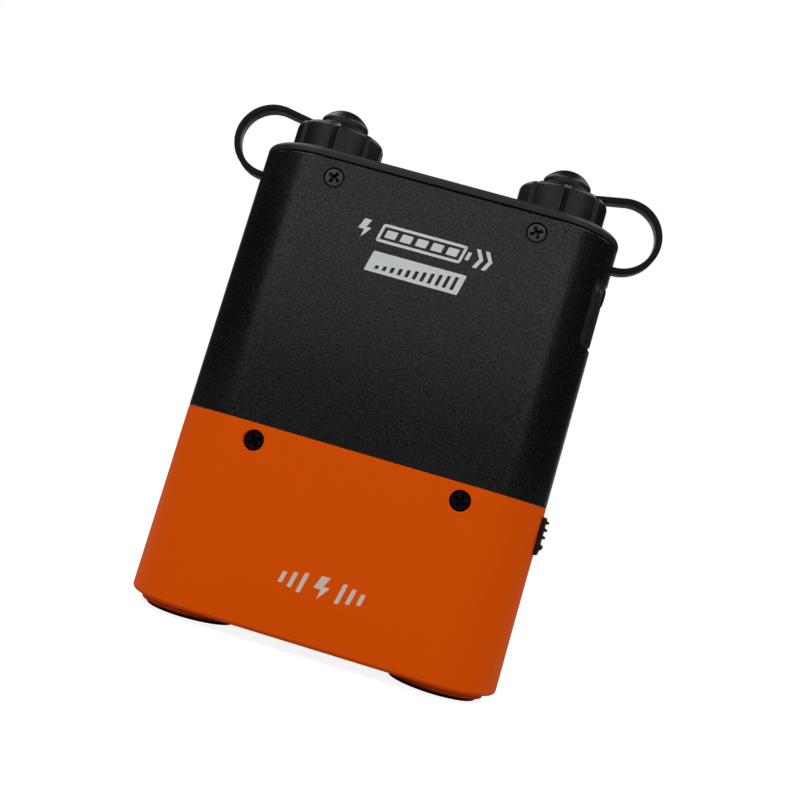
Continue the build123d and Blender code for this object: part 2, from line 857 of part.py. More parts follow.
def port_cover():
    outer = side_radius - cover_proud
    shell = side_sector(outer - cover_shell, outer, cover_half_width, cover_low, cover_high)
    shell -= block(side_centre, side_x + 1, hinge_y, cover_half_width + 1, cover_low, cover_high)
    knuckle = post(hinge_x, hinge_y, cover_low, cover_high, knuckle_diameter)
    cover = shell + knuckle
    return cover - post(hinge_x, hinge_y, cover_low, cover_high, hinge_pin_diameter + 2 * pin_gap)


def port_cover_pin():
    return post(hinge_x, hinge_y, cover_low - hinge_pin_overhang, cover_high + hinge_pin_overhang,
                hinge_pin_diameter)


# ---- Output sockets, caps and tethers, made on the right ----
def socket_body():
    flange_low = cover_bottom - socket_flange_thickness
    barrel_low = flange_low - socket_barrel_length
    body = post(socket_x, 0, flange_low, cover_bottom, socket_flange_diameter)
    body += post(socket_x, 0, cover_bottom, socket_mouth, socket_neck_diameter)
    body += post(socket_x, 0, barrel_low, flange_low, socket_barrel_diameter)
    return body - post(socket_x, 0, barrel_low, socket_mouth, socket_bore)


def socket_pin_places():
    places = []
    for index in range(pin_count):
        angle = math.radians(90 + 360 * index / pin_count)
        places.append((socket_x + pin_circle_radius * math.cos(angle), pin_circle_radius * math.sin(angle)))
    return places


def socket_insert():
    low = socket_floor - socket_insert_length
    insert = post(socket_x, 0, low, socket_floor, socket_bore - 2 * touch_gap)
    for x, y in socket_pin_places():
        insert -= post(x, y, low, socket_floor, pin_diameter + 2 * touch_gap)
    return insert


def socket_pins():
    low = socket_floor - socket_insert_length - 2.0
    return group([post(x, y, low, socket_floor + pin_height, pin_diameter) for x, y in socket_pin_places()])


def cap():
    shell = post(socket_x, 0, cap_bottom, cap_top, cap_diameter)
    shell = fillet(edges_at(shell, cap_top), cap_top_round)
    shell -= post(socket_x, 0, cap_bottom, cap_inner_top, socket_neck_diameter + 2 * slide_gap)
    for index in range(cap_lobes):
        angle = math.radians(360 * index / cap_lobes)
        radius = cap_diameter / 2 + 0.1
        shell -= post(socket_x + radius * math.cos(angle), radius * math.sin(angle), cap_bottom, cap_top,
                      2 * cap_groove_radius)
    return shell


def cap_hub():
    """The button on the cap that the tether's ring turns under."""
    stem = post(socket_x, 0, cap_top, head_bottom, hub_diameter)
    head = post(socket_x, 0, head_bottom, overall_height, hub_head_diameter)
    head = fillet(edges_at(head, overall_height), hub_head_height - 0.6)
    return stem + head


def cap_seal():
    return post(socket_x, 0, seal_bottom, cap_inner_top, socket_neck_diameter)


def tether_ring():
    ring = post(socket_x, 0, ring_bottom, ring_top, tether_ring_diameter)
    return ring - post(socket_x, 0, ring_bottom, ring_top, hub_diameter + 2 * slide_gap)


def tether_band():
    """A flat band: up from the ring, round in a loop, and in through the side to its anchor."""
    ring_x = socket_x + tether_ring_diameter / 2
    start_x = ring_x + 0.02
    start_z = ring_bottom + tether_ring_height / 2 + 0.1
    rise_x = tether_loop_x - start_x
    rise_z = tether_loop_z - start_z
    distance = math.hypot(rise_x, rise_z)
    lean = math.atan2(rise_z, rise_x) + math.asin(tether_loop_radius / distance)
    length = math.sqrt(distance ** 2 - tether_loop_radius ** 2)
    end = (start_x + length * math.cos(lean), start_z + length * math.sin(lean))
    far = (tether_loop_x + tether_loop_radius, tether_loop_z)
    low = (tether_loop_x, tether_slot_z)
    skirt_radius = inner_radius - fit_gap - cover_skirt
    anchor_face = side_centre + math.sqrt(skirt_radius ** 2 - (tether_anchor_width / 2) ** 2) - touch_gap
    anchor_x = anchor_face - tether_anchor_depth
    path = Polyline((start_x, start_z), end)
    path += ThreePointArc(end, rounded_point(end, far), far)
    path += ThreePointArc(far, rounded_point(far, low), low)
    path += Line(low, (anchor_x, tether_slot_z))
    half = tether_thickness / 2
    outline = trace(path, tether_thickness)
    band = extrude(Plane.XZ * outline, tether_width / 2, both=True)
    loop_top = tether_loop_z + tether_loop_radius + tether_thickness
    band &= block(start_x, side_x + 30, -tether_width, tether_width, tether_slot_z - half - 1, loop_top)
    band += block(start_x, start_x + 1, -tether_width / 2, tether_width / 2, ring_bottom, ring_top)
    anchor_y = tether_anchor_width / 2
    band += block(anchor_x, anchor_x + tether_anchor_depth, -anchor_y, anchor_y,
                  tether_slot_z - tether_anchor_height / 2, tether_slot_z + tether_anchor_height / 2)
    return band


def rounded_point(a, b):
    """The point of the tether's loop halfway between two of its points."""
    angle_a = math.atan2(a[1] - tether_loop_z, a[0] - tether_loop_x)
    angle_b = math.atan2(b[1] - tether_loop_z, b[0] - tether_loop_x)
    middle = (angle_a + angle_b) / 2
    return (tether_loop_x + tether_loop_radius * math.cos(middle),
            tether_loop_z + tether_loop_radius * math.sin(middle))


# ---- Places that the functions above share ----
upper_screw_z = sleeve_top - upper_screw_drop
battery_screw_z = seam_z - battery_screw_drop
contact_low = dock_bottom - blade_reach - slide_gap - contact_leaf - 0.4
latch_top = seam_z - latch_top_drop
hook_outer_x = side_x - latch_hook_inset
hook_inner_x = hook_outer_x - latch_hook_thickness
stem_high = latch_top - 1.6
stem_low = stem_high - latch_stem_height
spring_bottom = latch_top - latch_height - spring_length
capacitor_z = dock_bottom + dock_plug_height + capacitor_diameter / 2 + 0.4
sink_width = 2 * core_offset + core_size[0]
sink_bottom = capacitor_z + capacitor_diameter / 2 + transistor_size[1] + 0.8
core_bottom = sink_bottom + sink_height + 1.0

nodes = {
    "battery_case": battery_case(),
    "foot_pads": foot_pads(),
    "battery_lid": battery_lid(),
    "battery_screws": battery_screws(),
    "cell_front": cell(0),
    "cell_middle": cell(1),
    "cell_rear": cell(2),
    "cell_foam": cell_foam(),
    "cell_tabs": cell_tabs(),
    "protection_board": protection_board(),
    "protection_parts": protection_parts(),
    "battery_socket_block": battery_socket_block(),
    "battery_contacts": battery_contacts(),
    "charge_jack": charge_jack(),
    "charge_jack_pin": charge_jack_pin(),
    "latch_slider": latch_slider(),
    "latch_spring": latch_spring(),
    "upper_sleeve": upper_sleeve(),
    "top_gasket": top_gasket(),
    "top_cover": top_cover(),
    "upper_screws": upper_screws(),
    "dock_plate": dock_plate(),
    "dock_plug": dock_plug(),
    "dock_blades": group(blades()),
    "main_board": main_board(),
    "board_screws": board_screws(),
    "capacitors": capacitors(),
    "power_transistors": transistors(),
    "heat_sink": heat_sink(),
    "transformer_cores": transformer_cores(),
    "transformer_windings": transformer_windings(),
    "board_parts": board_parts(),
    "side_panel": side_panel(),
    "power_button": power_button(),
    "power_switch": power_switch(),
    "control_board": control_board(),
    "indicator_leds": indicator_leds(),
    "indicator_lenses": indicator_lenses(),
    "usb_shell": usb_shell(),
    "usb_tongue": usb_tongue(),
    "port_cover": port_cover(),
    "port_cover_pin": port_cover_pin(),
}

paired = {
    "socket": socket_body(),
    "socket_insert": socket_insert(),
    "socket_pins": socket_pins(),
    "cap": cap(),
    "cap_hub": cap_hub(),
    "cap_seal": cap_seal(),
    "tether_ring": tether_ring(),
    "tether_band": tether_band(),
}
for name, shape in paired.items():
    nodes["right_" + name] = shape
    nodes["left_" + name] = mirrored(shape)

for name, shape in nodes.items():
    export_step(shape, f"parts/{name}.step")
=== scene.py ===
import json
import math

import bmesh
import bpy
from mathutils import Matrix, Vector


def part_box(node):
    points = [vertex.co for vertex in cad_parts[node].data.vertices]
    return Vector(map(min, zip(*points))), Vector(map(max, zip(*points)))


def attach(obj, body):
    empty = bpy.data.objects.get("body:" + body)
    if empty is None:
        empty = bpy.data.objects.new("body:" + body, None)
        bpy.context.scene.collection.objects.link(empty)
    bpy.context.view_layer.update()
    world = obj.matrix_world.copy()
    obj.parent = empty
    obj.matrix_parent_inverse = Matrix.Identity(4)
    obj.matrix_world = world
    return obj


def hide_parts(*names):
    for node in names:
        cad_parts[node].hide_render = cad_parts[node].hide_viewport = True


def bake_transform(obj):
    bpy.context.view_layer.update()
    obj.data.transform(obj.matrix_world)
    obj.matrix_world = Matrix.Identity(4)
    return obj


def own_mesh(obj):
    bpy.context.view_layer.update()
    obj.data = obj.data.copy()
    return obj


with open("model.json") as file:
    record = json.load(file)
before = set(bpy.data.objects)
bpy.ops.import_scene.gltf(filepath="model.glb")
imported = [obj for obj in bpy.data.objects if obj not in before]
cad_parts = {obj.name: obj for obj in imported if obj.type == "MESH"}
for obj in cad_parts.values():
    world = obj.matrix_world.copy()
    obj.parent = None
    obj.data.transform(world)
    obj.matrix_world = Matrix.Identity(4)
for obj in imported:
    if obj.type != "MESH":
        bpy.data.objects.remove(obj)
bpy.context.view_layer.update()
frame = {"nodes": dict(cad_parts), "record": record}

bl_info = {
    "name": "Portable Flash Battery Pack",
    "version": (1, 0, 0),
    "blender": (4, 5, 0),
    "location": "3D Viewport > Sidebar > Battery Pack",
    "description": "Builds the visible pieces and finishes of a two-part portable flash battery pack",
    "category": "Object",
}

MM = 0.001
TINY = 0.01 * MM
MERGE = 0.001 * MM
SIDE_STEPS = 144            # round sides of the body, both together
ROUND_STEPS = 96            # other turned pieces
SMOOTH_BELOW = math.radians(32)
GAP = 0.15 * MM             # around a piece in its hole
SCREW_GAP = 0.1 * MM        # the same for a screw, on its diameter
RIM_ROUND = 0.22 * MM       # edges of the sleeve and the top plate where they meet
HOOK_HALF = 3.0 * MM        # half the width of the latch's hook
STEM_HALF, STEM_HEIGHT = 1.8 * MM, 3.0 * MM             # the latch's stem, through the cup's slot
STEM_DROP = 1.6 * MM        # from the top of the thumb plate
STEM_GAP = 0.3 * MM


# ---- Places, read from the frame ----
def span(node):
    """A node's size along X, Y and Z."""
    low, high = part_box(node)
    return high - low


def middle(node):
    low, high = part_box(node)
    return (low + high) / 2


SLEEVE_LOW, SLEEVE_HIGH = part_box("upper_sleeve")
BODY_WIDTH = SLEEVE_HIGH.x - SLEEVE_LOW.x
BODY_DEPTH = SLEEVE_HIGH.y - SLEEVE_LOW.y
SIDE_RADIUS = BODY_DEPTH / 2
SIDE_CENTRE = (BODY_WIDTH - BODY_DEPTH) / 2
FRONT_Y = SLEEVE_LOW.y
SEAM_Z = SLEEVE_LOW.z


# ---- Sizes and colours that a user may change ----
def length(name, text, default):
    return bpy.props.FloatProperty(name=name, description=text, default=default, min=0.0, unit="LENGTH",
                                   subtype="DISTANCE", precision=5)


def colour(name, text, red, green, blue):
    return bpy.props.FloatVectorProperty(name=name, description=text, default=(red, green, blue), min=0.0,
                                         max=1.0, size=3, subtype="COLOR")


class PackSizes(bpy.types.PropertyGroup):
    wall: length("Wall", "Thickness of both shells", 2.0 * MM)
    edge_round: length("Edge round", "Outer edges of the top plate and of the cup's bottom", 1.2 * MM)
    seam_chamfer: length("Seam chamfer", "Both edges of the joint between the two halves", 0.3 * MM)
    foot_boss: length("Foot boss", "Height of the bosses under the cup", 1.8 * MM)
    foot_rim: length("Foot rim", "Rim of a boss around its pad", 1.4 * MM)
    screw_head: length("Screw head", "Diameter of the wall screws' heads", 5.4 * MM)
    screw_shank: length("Screw shank", "Diameter of the wall screws", 3.0 * MM)
    screw_ring: length("Screw ring", "Width of the dark ring around a screw's face", 0.42 * MM)
    cap_flute: length("Cap flute depth", "Depth of the grip flutes on a cap", 0.85 * MM)
    cap_flute_width: length("Cap flute width", "Flute's half width where it is a third as deep", 0.62 * MM)
    cap_round: length("Cap round", "Top edge of a cap", 1.5 * MM)
    hub_ball: length("Hub ball", "Radius of the ball that a hub's top is part of", 7.9 * MM)
    cap_lobes: bpy.props.IntProperty(name="Cap lobes", description="Flutes around a cap", default=8,
                                     min=3)
    tether_thickness: length("Tether thickness", "Thickness of a cap's band", 1.7 * MM)
    tether_width: length("Tether width", "Width of a cap's band, front to back", 4.0 * MM)
    tether_loop: length("Tether loop", "Radius of the loop of a cap's band", 9.8 * MM)
    latch_height: length("Latch height", "Height of the latch's thumb plate", 10.2 * MM)
    latch_width: length("Latch width", "Width of the latch's thumb plate", 12.0 * MM)
    latch_travel: length("Latch travel", "How far the latch slides down", 3.0 * MM)
    thread_pitch: length("Thread pitch", "Rise of a socket's thread in one turn", 1.5 * MM)


class PackColours(bpy.types.PropertyGroup):
    battery: colour("Battery", "Paint of the battery's cup", 0.92, 0.106, 0.0006)
    unit: colour("Power unit", "Paint of the power unit's sleeve", 0.0026, 0.0030, 0.0027)
    plastic: colour("Plastic", "Moulded plastic of lids, panel and latch", 0.0035, 0.0036, 0.0038)
    rubber: colour("Rubber", "Caps, tethers, pads and button", 0.0032, 0.0032, 0.0036)
    mark: colour("Upper marks", "Print on the power unit", 0.80, 0.82, 0.84)
    battery_mark: colour("Battery mark", "Print on the battery", 0.90, 0.70, 0.62)


class PackStage(bpy.types.PropertyGroup):
    lens: bpy.props.FloatProperty(name="Lens", description="Focal length of the camera in mm", default=44.6,
                                  min=1.0)
    roll: bpy.props.FloatProperty(name="Roll", description="Turn of the camera about its own axis",
                                  default=math.radians(16.4), subtype="ANGLE")
    floor: length("Floor", "Side of the square floor", 8.0)


# ---- Shapes ----
def upright(width, depth, low, high, steps=SIDE_STEPS):
    """A closed upright prism with flat front and back and full-round sides."""
    bm = bmesh.new()
    place = Matrix.Translation((0, 0, (low + high) / 2)) @ Matrix.Rotation(math.pi / steps, 4, "Z")
    bmesh.ops.create_cone(bm, cap_ends=True, cap_tris=False, segments=steps, radius1=depth / 2,
                          radius2=depth / 2, depth=high - low, matrix=place)
    for vert in bm.verts:
        vert.co.x += math.copysign((width - depth) / 2, vert.co.x)
    return bm


def block(low, high):
    """A closed box between two corners."""
    low, high = Vector(low), Vector(high)
    bm = bmesh.new()
    place = Matrix.Translation((low + high) / 2) @ Matrix.Diagonal((*(high - low), 1))
    bmesh.ops.create_cube(bm, size=1.0, matrix=place)
    return bm


def edges_at(bm, z):
    return [edge for edge in bm.edges if all(abs(vert.co.z - z) < TINY for vert in edge.verts)]


def cap_at(bm, z):
    """The largest face that lies wholly at one height."""
    flat = [face for face in bm.faces if all(abs(vert.co.z - z) < TINY for vert in face.verts)]
    return max(flat, key=lambda face: face.calc_area())


def rounded(bm, geom, size, steps=4, affect="EDGES"):
    bmesh.ops.bevel(bm, geom=geom, affect=affect, offset=size, offset_type="OFFSET", segments=steps,
                    profile=0.5, material=-1)


def inset(bm, face, thickness):
    bmesh.ops.inset_region(bm, faces=[face], thickness=thickness, use_even_offset=True, use_boundary=True)


def only(kind, geom):
    """The verts or the edges among what an operator gives back."""
    return [item for item in geom if isinstance(item, kind)]


def pushed(bm, face, move):
    """Draws one face out along a vector and returns its far end."""
    far = bmesh.ops.extrude_discrete_faces(bm, faces=[face])["faces"][0]
    bmesh.ops.translate(bm, vec=move, verts=far.verts)
    return far


def outlined(points, x=0.0, y=0.0, closed=True, corner_steps=4):
    """Edges in the XZ plane through points of (reach, height) or (reach, height, corner round)."""
    bm = bmesh.new()
    verts = [bm.verts.new((x + point[0], y, point[1])) for point in points]
    for pair in zip(verts, verts[1:] + verts[:1] if closed else verts[1:]):
        bm.edges.new(pair)
    for vert, point in zip(verts, points):
        if len(point) > 2:
            rounded(bm, [vert], point[2], corner_steps, "VERTICES")
    return bm


def turned(profile, x=0.0, y=0.0, steps=ROUND_STEPS, corner_steps=4):
    """Spins an outline about an upright axis. It starts and ends on the axis, or is a closed loop."""
    bm = outlined(profile, x, y, profile[0][0] > TINY, corner_steps)
    bmesh.ops.spin(bm, geom=bm.verts[:] + bm.edges[:], cent=(x, y, 0), axis=(0, 0, 1), angle=2 * math.pi,
                   steps=steps, use_merge=True)
    bmesh.ops.remove_doubles(bm, verts=bm.verts[:], dist=MERGE)
    bmesh.ops.recalc_face_normals(bm, faces=bm.faces[:])
    return bm


def plate(points, front, back, corner=0.0, stroke=0.0):
    """A thin closed plate that stands in the XZ plane; a stroke leaves only its rim, that wide."""
    bm = bmesh.new()
    bm.faces.new([bm.verts.new((x, front, z)) for x, z in points])
    if corner:
        rounded(bm, bm.verts[:], corner, affect="VERTICES")
    if stroke:
        face = bm.faces[:][0]
        inset(bm, face, stroke)
        bmesh.ops.delete(bm, geom=[face], context="FACES_ONLY")
    grown = bmesh.ops.extrude_face_region(bm, geom=bm.faces[:])["geom"]
    bmesh.ops.translate(bm, vec=(0, back - front, 0), verts=only(bmesh.types.BMVert, grown))
    bmesh.ops.recalc_face_normals(bm, faces=bm.faces[:])
    return bm


def joined(*shapes):
    """Several meshes as one; the parts are used up."""
    whole = bmesh.new()
    for shape in shapes:
        mesh = bpy.data.meshes.new("part")
        shape.to_mesh(mesh)
        shape.free()
        whole.from_mesh(mesh)
        bpy.data.meshes.remove(mesh)
    return whole


def moved(shape, matrix):
    bmesh.ops.transform(shape, matrix=matrix, verts=shape.verts[:])
    if matrix.determinant() < 0:
        bmesh.ops.reverse_faces(shape, faces=shape.faces[:])
    return shape


def around_walls(make, x, z, reach):
    """Four of a shape made along +Z about the origin, laid at the screw places in front and behind."""
    shapes = []
    for side in (-x, x):
        for face in (-1, 1):
            place = Matrix.Translation((side, face * reach, z))
            shapes.append(moved(make(), place @ Matrix.Rotation(-face * math.pi / 2, 4, "X")))
    return joined(*shapes)


# ---- Pieces ----
def object_of(name, bm):
    mesh = bpy.data.meshes.new(name)
    bm.to_mesh(mesh)
    bm.free()
    made = bpy.data.objects.new(name, mesh)
    bpy.context.scene.collection.objects.link(made)
    return made


def carved(piece, tool, operation="DIFFERENCE", crossing=False):
    """Cuts a tool's shape from a piece, or joins it on. A crossing tool has parts that overlap."""
    other = object_of("tool", tool)
    change = piece.modifiers.new("carve", "BOOLEAN")
    change.operation = operation
    change.solver = "EXACT"
    change.use_self = crossing
    change.object = other
    seen = piece.evaluated_get(bpy.context.evaluated_depsgraph_get())
    old, piece.data = piece.data, bpy.data.meshes.new_from_object(seen)
    piece.modifiers.clear()
    bpy.data.meshes.remove(old)
    piece.data.name = piece.name
    bpy.data.meshes.remove(other.data)


def check_closed(piece):
    bm = bmesh.new()
    bm.from_mesh(piece.data)
    open_edges = sum(1 for edge in bm.edges if len(edge.link_faces) != 2)
    volume = bm.calc_volume(signed=True)
    bm.free()
    if open_edges or volume <= 0:
        raise RuntimeError(f"{piece.name} has {open_edges} open edges and a volume of {volume:g}")


def finished(piece, slot, nodes, body, edge=0.0, weighted=True):
    """Shades a piece, gives it its finish and lets it ride on its body in place of its nodes."""
    check_closed(piece)
    for face in piece.data.polygons:
        face.use_smooth = True
    piece.data.set_sharp_from_angle(angle=SMOOTH_BELOW)
    if edge:
        soften = piece.modifiers.new("edges", "BEVEL")
        soften.width = edge
        soften.segments = 2
        soften.limit_method = "ANGLE"
        soften.angle_limit = SMOOTH_BELOW
    if weighted:
        flatten = piece.modifiers.new("shading", "WEIGHTED_NORMAL")
        flatten.keep_sharp = True
    piece.data.materials.clear()
    piece.data.materials.append(finish_for(slot))
    if body:
        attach(piece, body)
    if nodes:
        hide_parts(*nodes)
    return piece


def refined(name, node, body, edge=0.0):
    """A merged copy of a node whose flat faces are whole, with small rounds on its edges."""
    bm = bmesh.new()
    bm.from_mesh(frame["nodes"][node].data)
    bmesh.ops.remove_doubles(bm, verts=bm.verts[:], dist=MERGE)
    bmesh.ops.dissolve_limit(bm, angle_limit=math.radians(0.5), verts=bm.verts[:], edges=bm.edges[:])
    return finished(object_of(name, bm), SLOT_OF[node], [node], body, edge)


# ---- Material graphs ----
class Value:
    """A number that changes over a surface. Arithmetic on it adds Math nodes."""

    def __init__(self, graph, socket):
        self.graph = graph
        self.socket = socket

    def _math(self, operation, first, second):
        node = self.graph.node("ShaderNodeMath", {"operation": operation}, {0: first, 1: second})
        return Value(self.graph, node.outputs[0])

    def __add__(self, other):
        return self._math("ADD", self, other)

    __radd__ = __add__

    def __mul__(self, other):
        return self._math("MULTIPLY", self, other)

    __rmul__ = __mul__


class Graph:
    """The nodes of one material, or of the world."""

    def __init__(self, owner):
        self.owner = bpy.data.materials.new(owner) if isinstance(owner, str) else owner
        self.owner.use_nodes = True
        self.tree = self.owner.node_tree
        self.tree.nodes.clear()
        self.place = self.node("ShaderNodeTexCoord").outputs["Object"]

    def node(self, kind, settings=None, inputs=None):
        """Any node: its settings first, then the values or links of its sockets."""
        made = self.tree.nodes.new(kind)
        for key, value in (settings or {}).items():
            if key == "stops":
                for index, (position, tone) in enumerate(value):
                    stops = made.color_ramp.elements
                    stop = stops[index] if index < 2 else stops.new(position)
                    stop.position = position
                    stop.color = (tone, tone, tone, 1)
            else:
                setattr(made, key, value)
        for key, value in (inputs or {}).items():
            if isinstance(value, Value):
                value = value.socket
            if isinstance(value, bpy.types.NodeSocket):
                self.tree.links.new(value, made.inputs[key])
            else:
                made.inputs[key].default_value = value
        return made

    def stretched(self, x, y, z):
        """Object coordinates with a scale on each axis."""
        return self.node("ShaderNodeMapping", None, {"Vector": self.place, "Scale": (x, y, z)}).outputs[0]

    def noise(self, size, detail=2.0, roughness=0.5, place=None):
        """Noise whose features are about one size across, from 0 to 1."""
        made = self.node("ShaderNodeTexNoise", None, {
            "Vector": place or self.place, "Scale": 1 / size, "Detail": detail, "Roughness": roughness})
        return Value(self, made.outputs["Fac"])

    def ramp(self, value, *stops):
        """A number drawn through stops of (position, result)."""
        made = self.node("ShaderNodeValToRGB", {"stops": stops}, {"Fac": value})
        return Value(self, self.node("ShaderNodeSeparateColor", None, {0: made.outputs[0]}).outputs[0])

    def patches(self, value, low, high):
        """0 below one level of a number, 1 above another."""
        return self.ramp(value, (0.0, 0.0), (low, 0.0), (high, 1.0))

    def mixed(self, factor, first, second):
        """One colour into another."""
        node = self.node("ShaderNodeMix", {"data_type": "RGBA"}, {0: factor, 6: first, 7: second})
        return node.outputs[2]

    def bumped(self, height, distance):
        return self.node("ShaderNodeBump", None, {"Height": height, "Distance": distance}).outputs[0]

    def finish(self, **sockets):
        """The shader and the output. Socket names are given with _ for a space."""
        inputs = {key.replace("_", " "): value for key, value in sockets.items()}
        shader = self.node("ShaderNodeBsdfPrincipled", None, inputs)
        self.node("ShaderNodeOutputMaterial", None, {"Surface": shader.outputs[0]})
        return self.owner

    def seen_and_given(self, seen, given):
        """Shows one shader to the camera and lights the pack with another."""
        rays = self.node("ShaderNodeLightPath").outputs["Is Camera Ray"]
        return self.node("ShaderNodeMixShader", None, {0: rays, 1: given, 2: seen}).outputs[0]


def tone(value, factor=1.0):
    """A colour with alpha, made lighter or darker."""
    return (*(min(1.0, channel * factor) for channel in value), 1.0)


def grained_paint(name, base, spread, grain, depth, roughness, fleck, fleck_share, gleam, coat):
    """Powder-like paint: a fine grain, slow changes of gloss, pale flecks, dull scuffs and thin scratches.

    spread is how far the grain goes to each side of the base colour, gleam how strongly all of it
    reflects, and coat how much more its high spots do.
    """
    graph = Graph(name)
    fine = graph.noise(grain, 2.0, 0.6)
    grit = graph.patches(fine, 0.30, 0.70)
    broad = graph.noise(22 * MM, 2.0)
    flecks = graph.patches(graph.noise(0.8 * MM, 1.0, 0.4), 0.745, 0.79)
    scuffs = graph.patches(graph.noise(6 * MM, 5.0, 0.7, graph.stretched(0.35, 1.0, 1.0)), 0.62, 0.74)
    hairs = graph.patches(graph.noise(1.3 * MM, 2.0, 0.5, graph.stretched(0.05, 1.0, 0.8)), 0.72, 0.76)
    shade = graph.mixed(grit * 0.8 + broad * 0.2, tone(base, 1 - spread), tone(base, 1 + spread))
    worn = flecks * fleck_share + scuffs * 0.04 + hairs * 0.06
    gloss = roughness - 0.06 + broad * 0.08 + grit * 0.06 + scuffs * 0.05
    return graph.finish(Base_Color=graph.mixed(worn, shade, tone(fleck)), Roughness=gloss,
                        Specular_IOR_Level=gleam, Coat_Weight=grit * coat, Coat_Roughness=roughness,
                        Normal=graph.bumped(fine, depth))


def moulded(name, base, roughness, grain=0.45 * MM, depth=0.012 * MM, gleam=0.5):
    """Spark-eroded moulded plastic."""
    graph = Graph(name)
    fine = graph.noise(grain, 3.0, 0.55)
    broad = graph.noise(9 * MM, 3.0)
    shade = graph.mixed(fine * 0.5 + broad * 0.5, tone(base, 0.75), tone(base, 1.35))
    gloss = roughness - 0.05 + fine * 0.06 + broad * 0.06
    return graph.finish(Base_Color=shade, Roughness=gloss, Specular_IOR_Level=gleam,
                        Normal=graph.bumped(fine, depth))


def rubber(name, base, roughness):
    """Soft rubber with a dusty bloom."""
    graph = Graph(name)
    fine = graph.noise(0.5 * MM, 4.0, 0.6)
    dust = graph.patches(graph.noise(3.5 * MM, 6.0, 0.7), 0.5, 0.8)
    shade = graph.mixed(dust * 0.25, tone(base), tone(base, 3.0))
    gloss = roughness + fine * 0.08 + dust * 0.08
    return graph.finish(Base_Color=shade, Roughness=gloss, Specular_IOR_Level=0.16,
                        Normal=graph.bumped(fine, 0.010 * MM))


def metal(name, base, roughness, grain=0.3 * MM, stretch=(1, 1, 1), depth=0.004 * MM):
    """Bare or plated metal with fine brushing or casting marks."""
    graph = Graph(name)
    fine = graph.noise(grain, 4.0, 0.6, graph.stretched(*stretch))
    stain = graph.noise(4 * MM, 3.0)
    shade = graph.mixed(stain, tone(base, 0.80), tone(base, 1.08))
    gloss = roughness - 0.07 + fine * 0.12 + stain * 0.08
    return graph.finish(Base_Color=shade, Metallic=1.0, Roughness=gloss, Normal=graph.bumped(fine, depth))


def circuit_board(name):
    """Green mask over copper tracks, which show as slightly raised lines."""
    graph = Graph(name)
    cells = graph.node("ShaderNodeTexBrick", {"offset": 0.5}, {
        "Vector": graph.place, "Scale": 160.0, "Mortar Size": 0.06, "Color1": (0, 0, 0, 1),
        "Color2": (1, 1, 1, 1), "Mortar": (0.5, 0.5, 0.5, 1)})
    tracks = Value(graph, cells.outputs["Fac"])
    fine = graph.noise(1.2 * MM, 3.0)
    shade = graph.mixed(tracks, (0.004, 0.045, 0.018, 1), (0.012, 0.11, 0.042, 1))
    return graph.finish(Base_Color=shade, Roughness=0.28 + fine * 0.1, Coat_Weight=0.25,
                        Normal=graph.bumped(tracks + fine * 0.2, 0.02 * MM))


def layered(name, base, pitch, axis, depth, roughness, metallic=0.0, contrast=0.7):
    """Wound or stacked material: fine bands across one axis."""
    graph = Graph(name)
    bands = graph.node("ShaderNodeTexWave", {"bands_direction": axis, "wave_profile": "SIN"}, {
        "Vector": graph.place, "Scale": 0.314 / pitch, "Distortion": 0.6, "Detail": 1.0,
        "Detail Scale": 2.0})
    wave = Value(graph, bands.outputs["Fac"])
    grime = graph.noise(2 * MM, 3.0)
    shade = graph.mixed(wave * 0.7 + grime * 0.3, tone(base, contrast), tone(base, 1.1))
    return graph.finish(Base_Color=shade, Metallic=metallic, Roughness=roughness + grime * 0.1,
                        Normal=graph.bumped(wave, depth))


def foil(name):
    """Crinkled pouch foil."""
    graph = Graph(name)
    creases = graph.noise(6 * MM, 5.0, 0.65)
    return graph.finish(Base_Color=graph.mixed(creases, (0.42, 0.43, 0.45, 1), (0.62, 0.63, 0.65, 1)),
                        Metallic=0.85, Roughness=0.32 + creases * 0.15,
                        Normal=graph.bumped(creases, 0.3 * MM))


def foam_sheet(name):
    """Open-cell foam."""
    graph = Graph(name)
    pores = Value(graph, graph.node("ShaderNodeTexVoronoi", None, {
        "Vector": graph.place, "Scale": 1 / (0.5 * MM)}).outputs["Distance"])
    return graph.finish(Base_Color=graph.mixed(pores, (0.012, 0.012, 0.013, 1), (0.05, 0.05, 0.052, 1)),
                        Roughness=0.95, Normal=graph.bumped(pores, 0.15 * MM))


def lens(name):
    """Smoky clear lens over an indicator, with a faintly uneven face."""
    graph = Graph(name)
    fine = graph.noise(0.9 * MM, 2.0)
    return graph.finish(Base_Color=graph.mixed(fine, (0.030, 0.034, 0.038, 1), (0.055, 0.062, 0.068, 1)),
                        Roughness=0.10 + fine * 0.08, Coat_Weight=1.0, Normal=graph.bumped(fine, 0.01 * MM))


def ink(name, base):
    """Screen print: slightly uneven, with pinholes where the grain shows through."""
    graph = Graph(name)
    grain = graph.noise(0.30 * MM, 3.0, 0.6)
    broad = graph.noise(4 * MM, 2.0)
    pinholes = graph.ramp(graph.noise(0.22 * MM, 2.0, 0.5), (0.0, 1.0), (0.24, 1.0), (0.28, 0.0))
    shade = graph.mixed(grain * 0.5 + broad * 0.5, tone(base, 0.86), tone(base, 1.05))
    return graph.finish(Base_Color=graph.mixed(pinholes * 0.5, shade, tone(base, 0.4)),
                        Roughness=0.50 + grain * 0.1, Normal=graph.bumped(grain, 0.010 * MM))


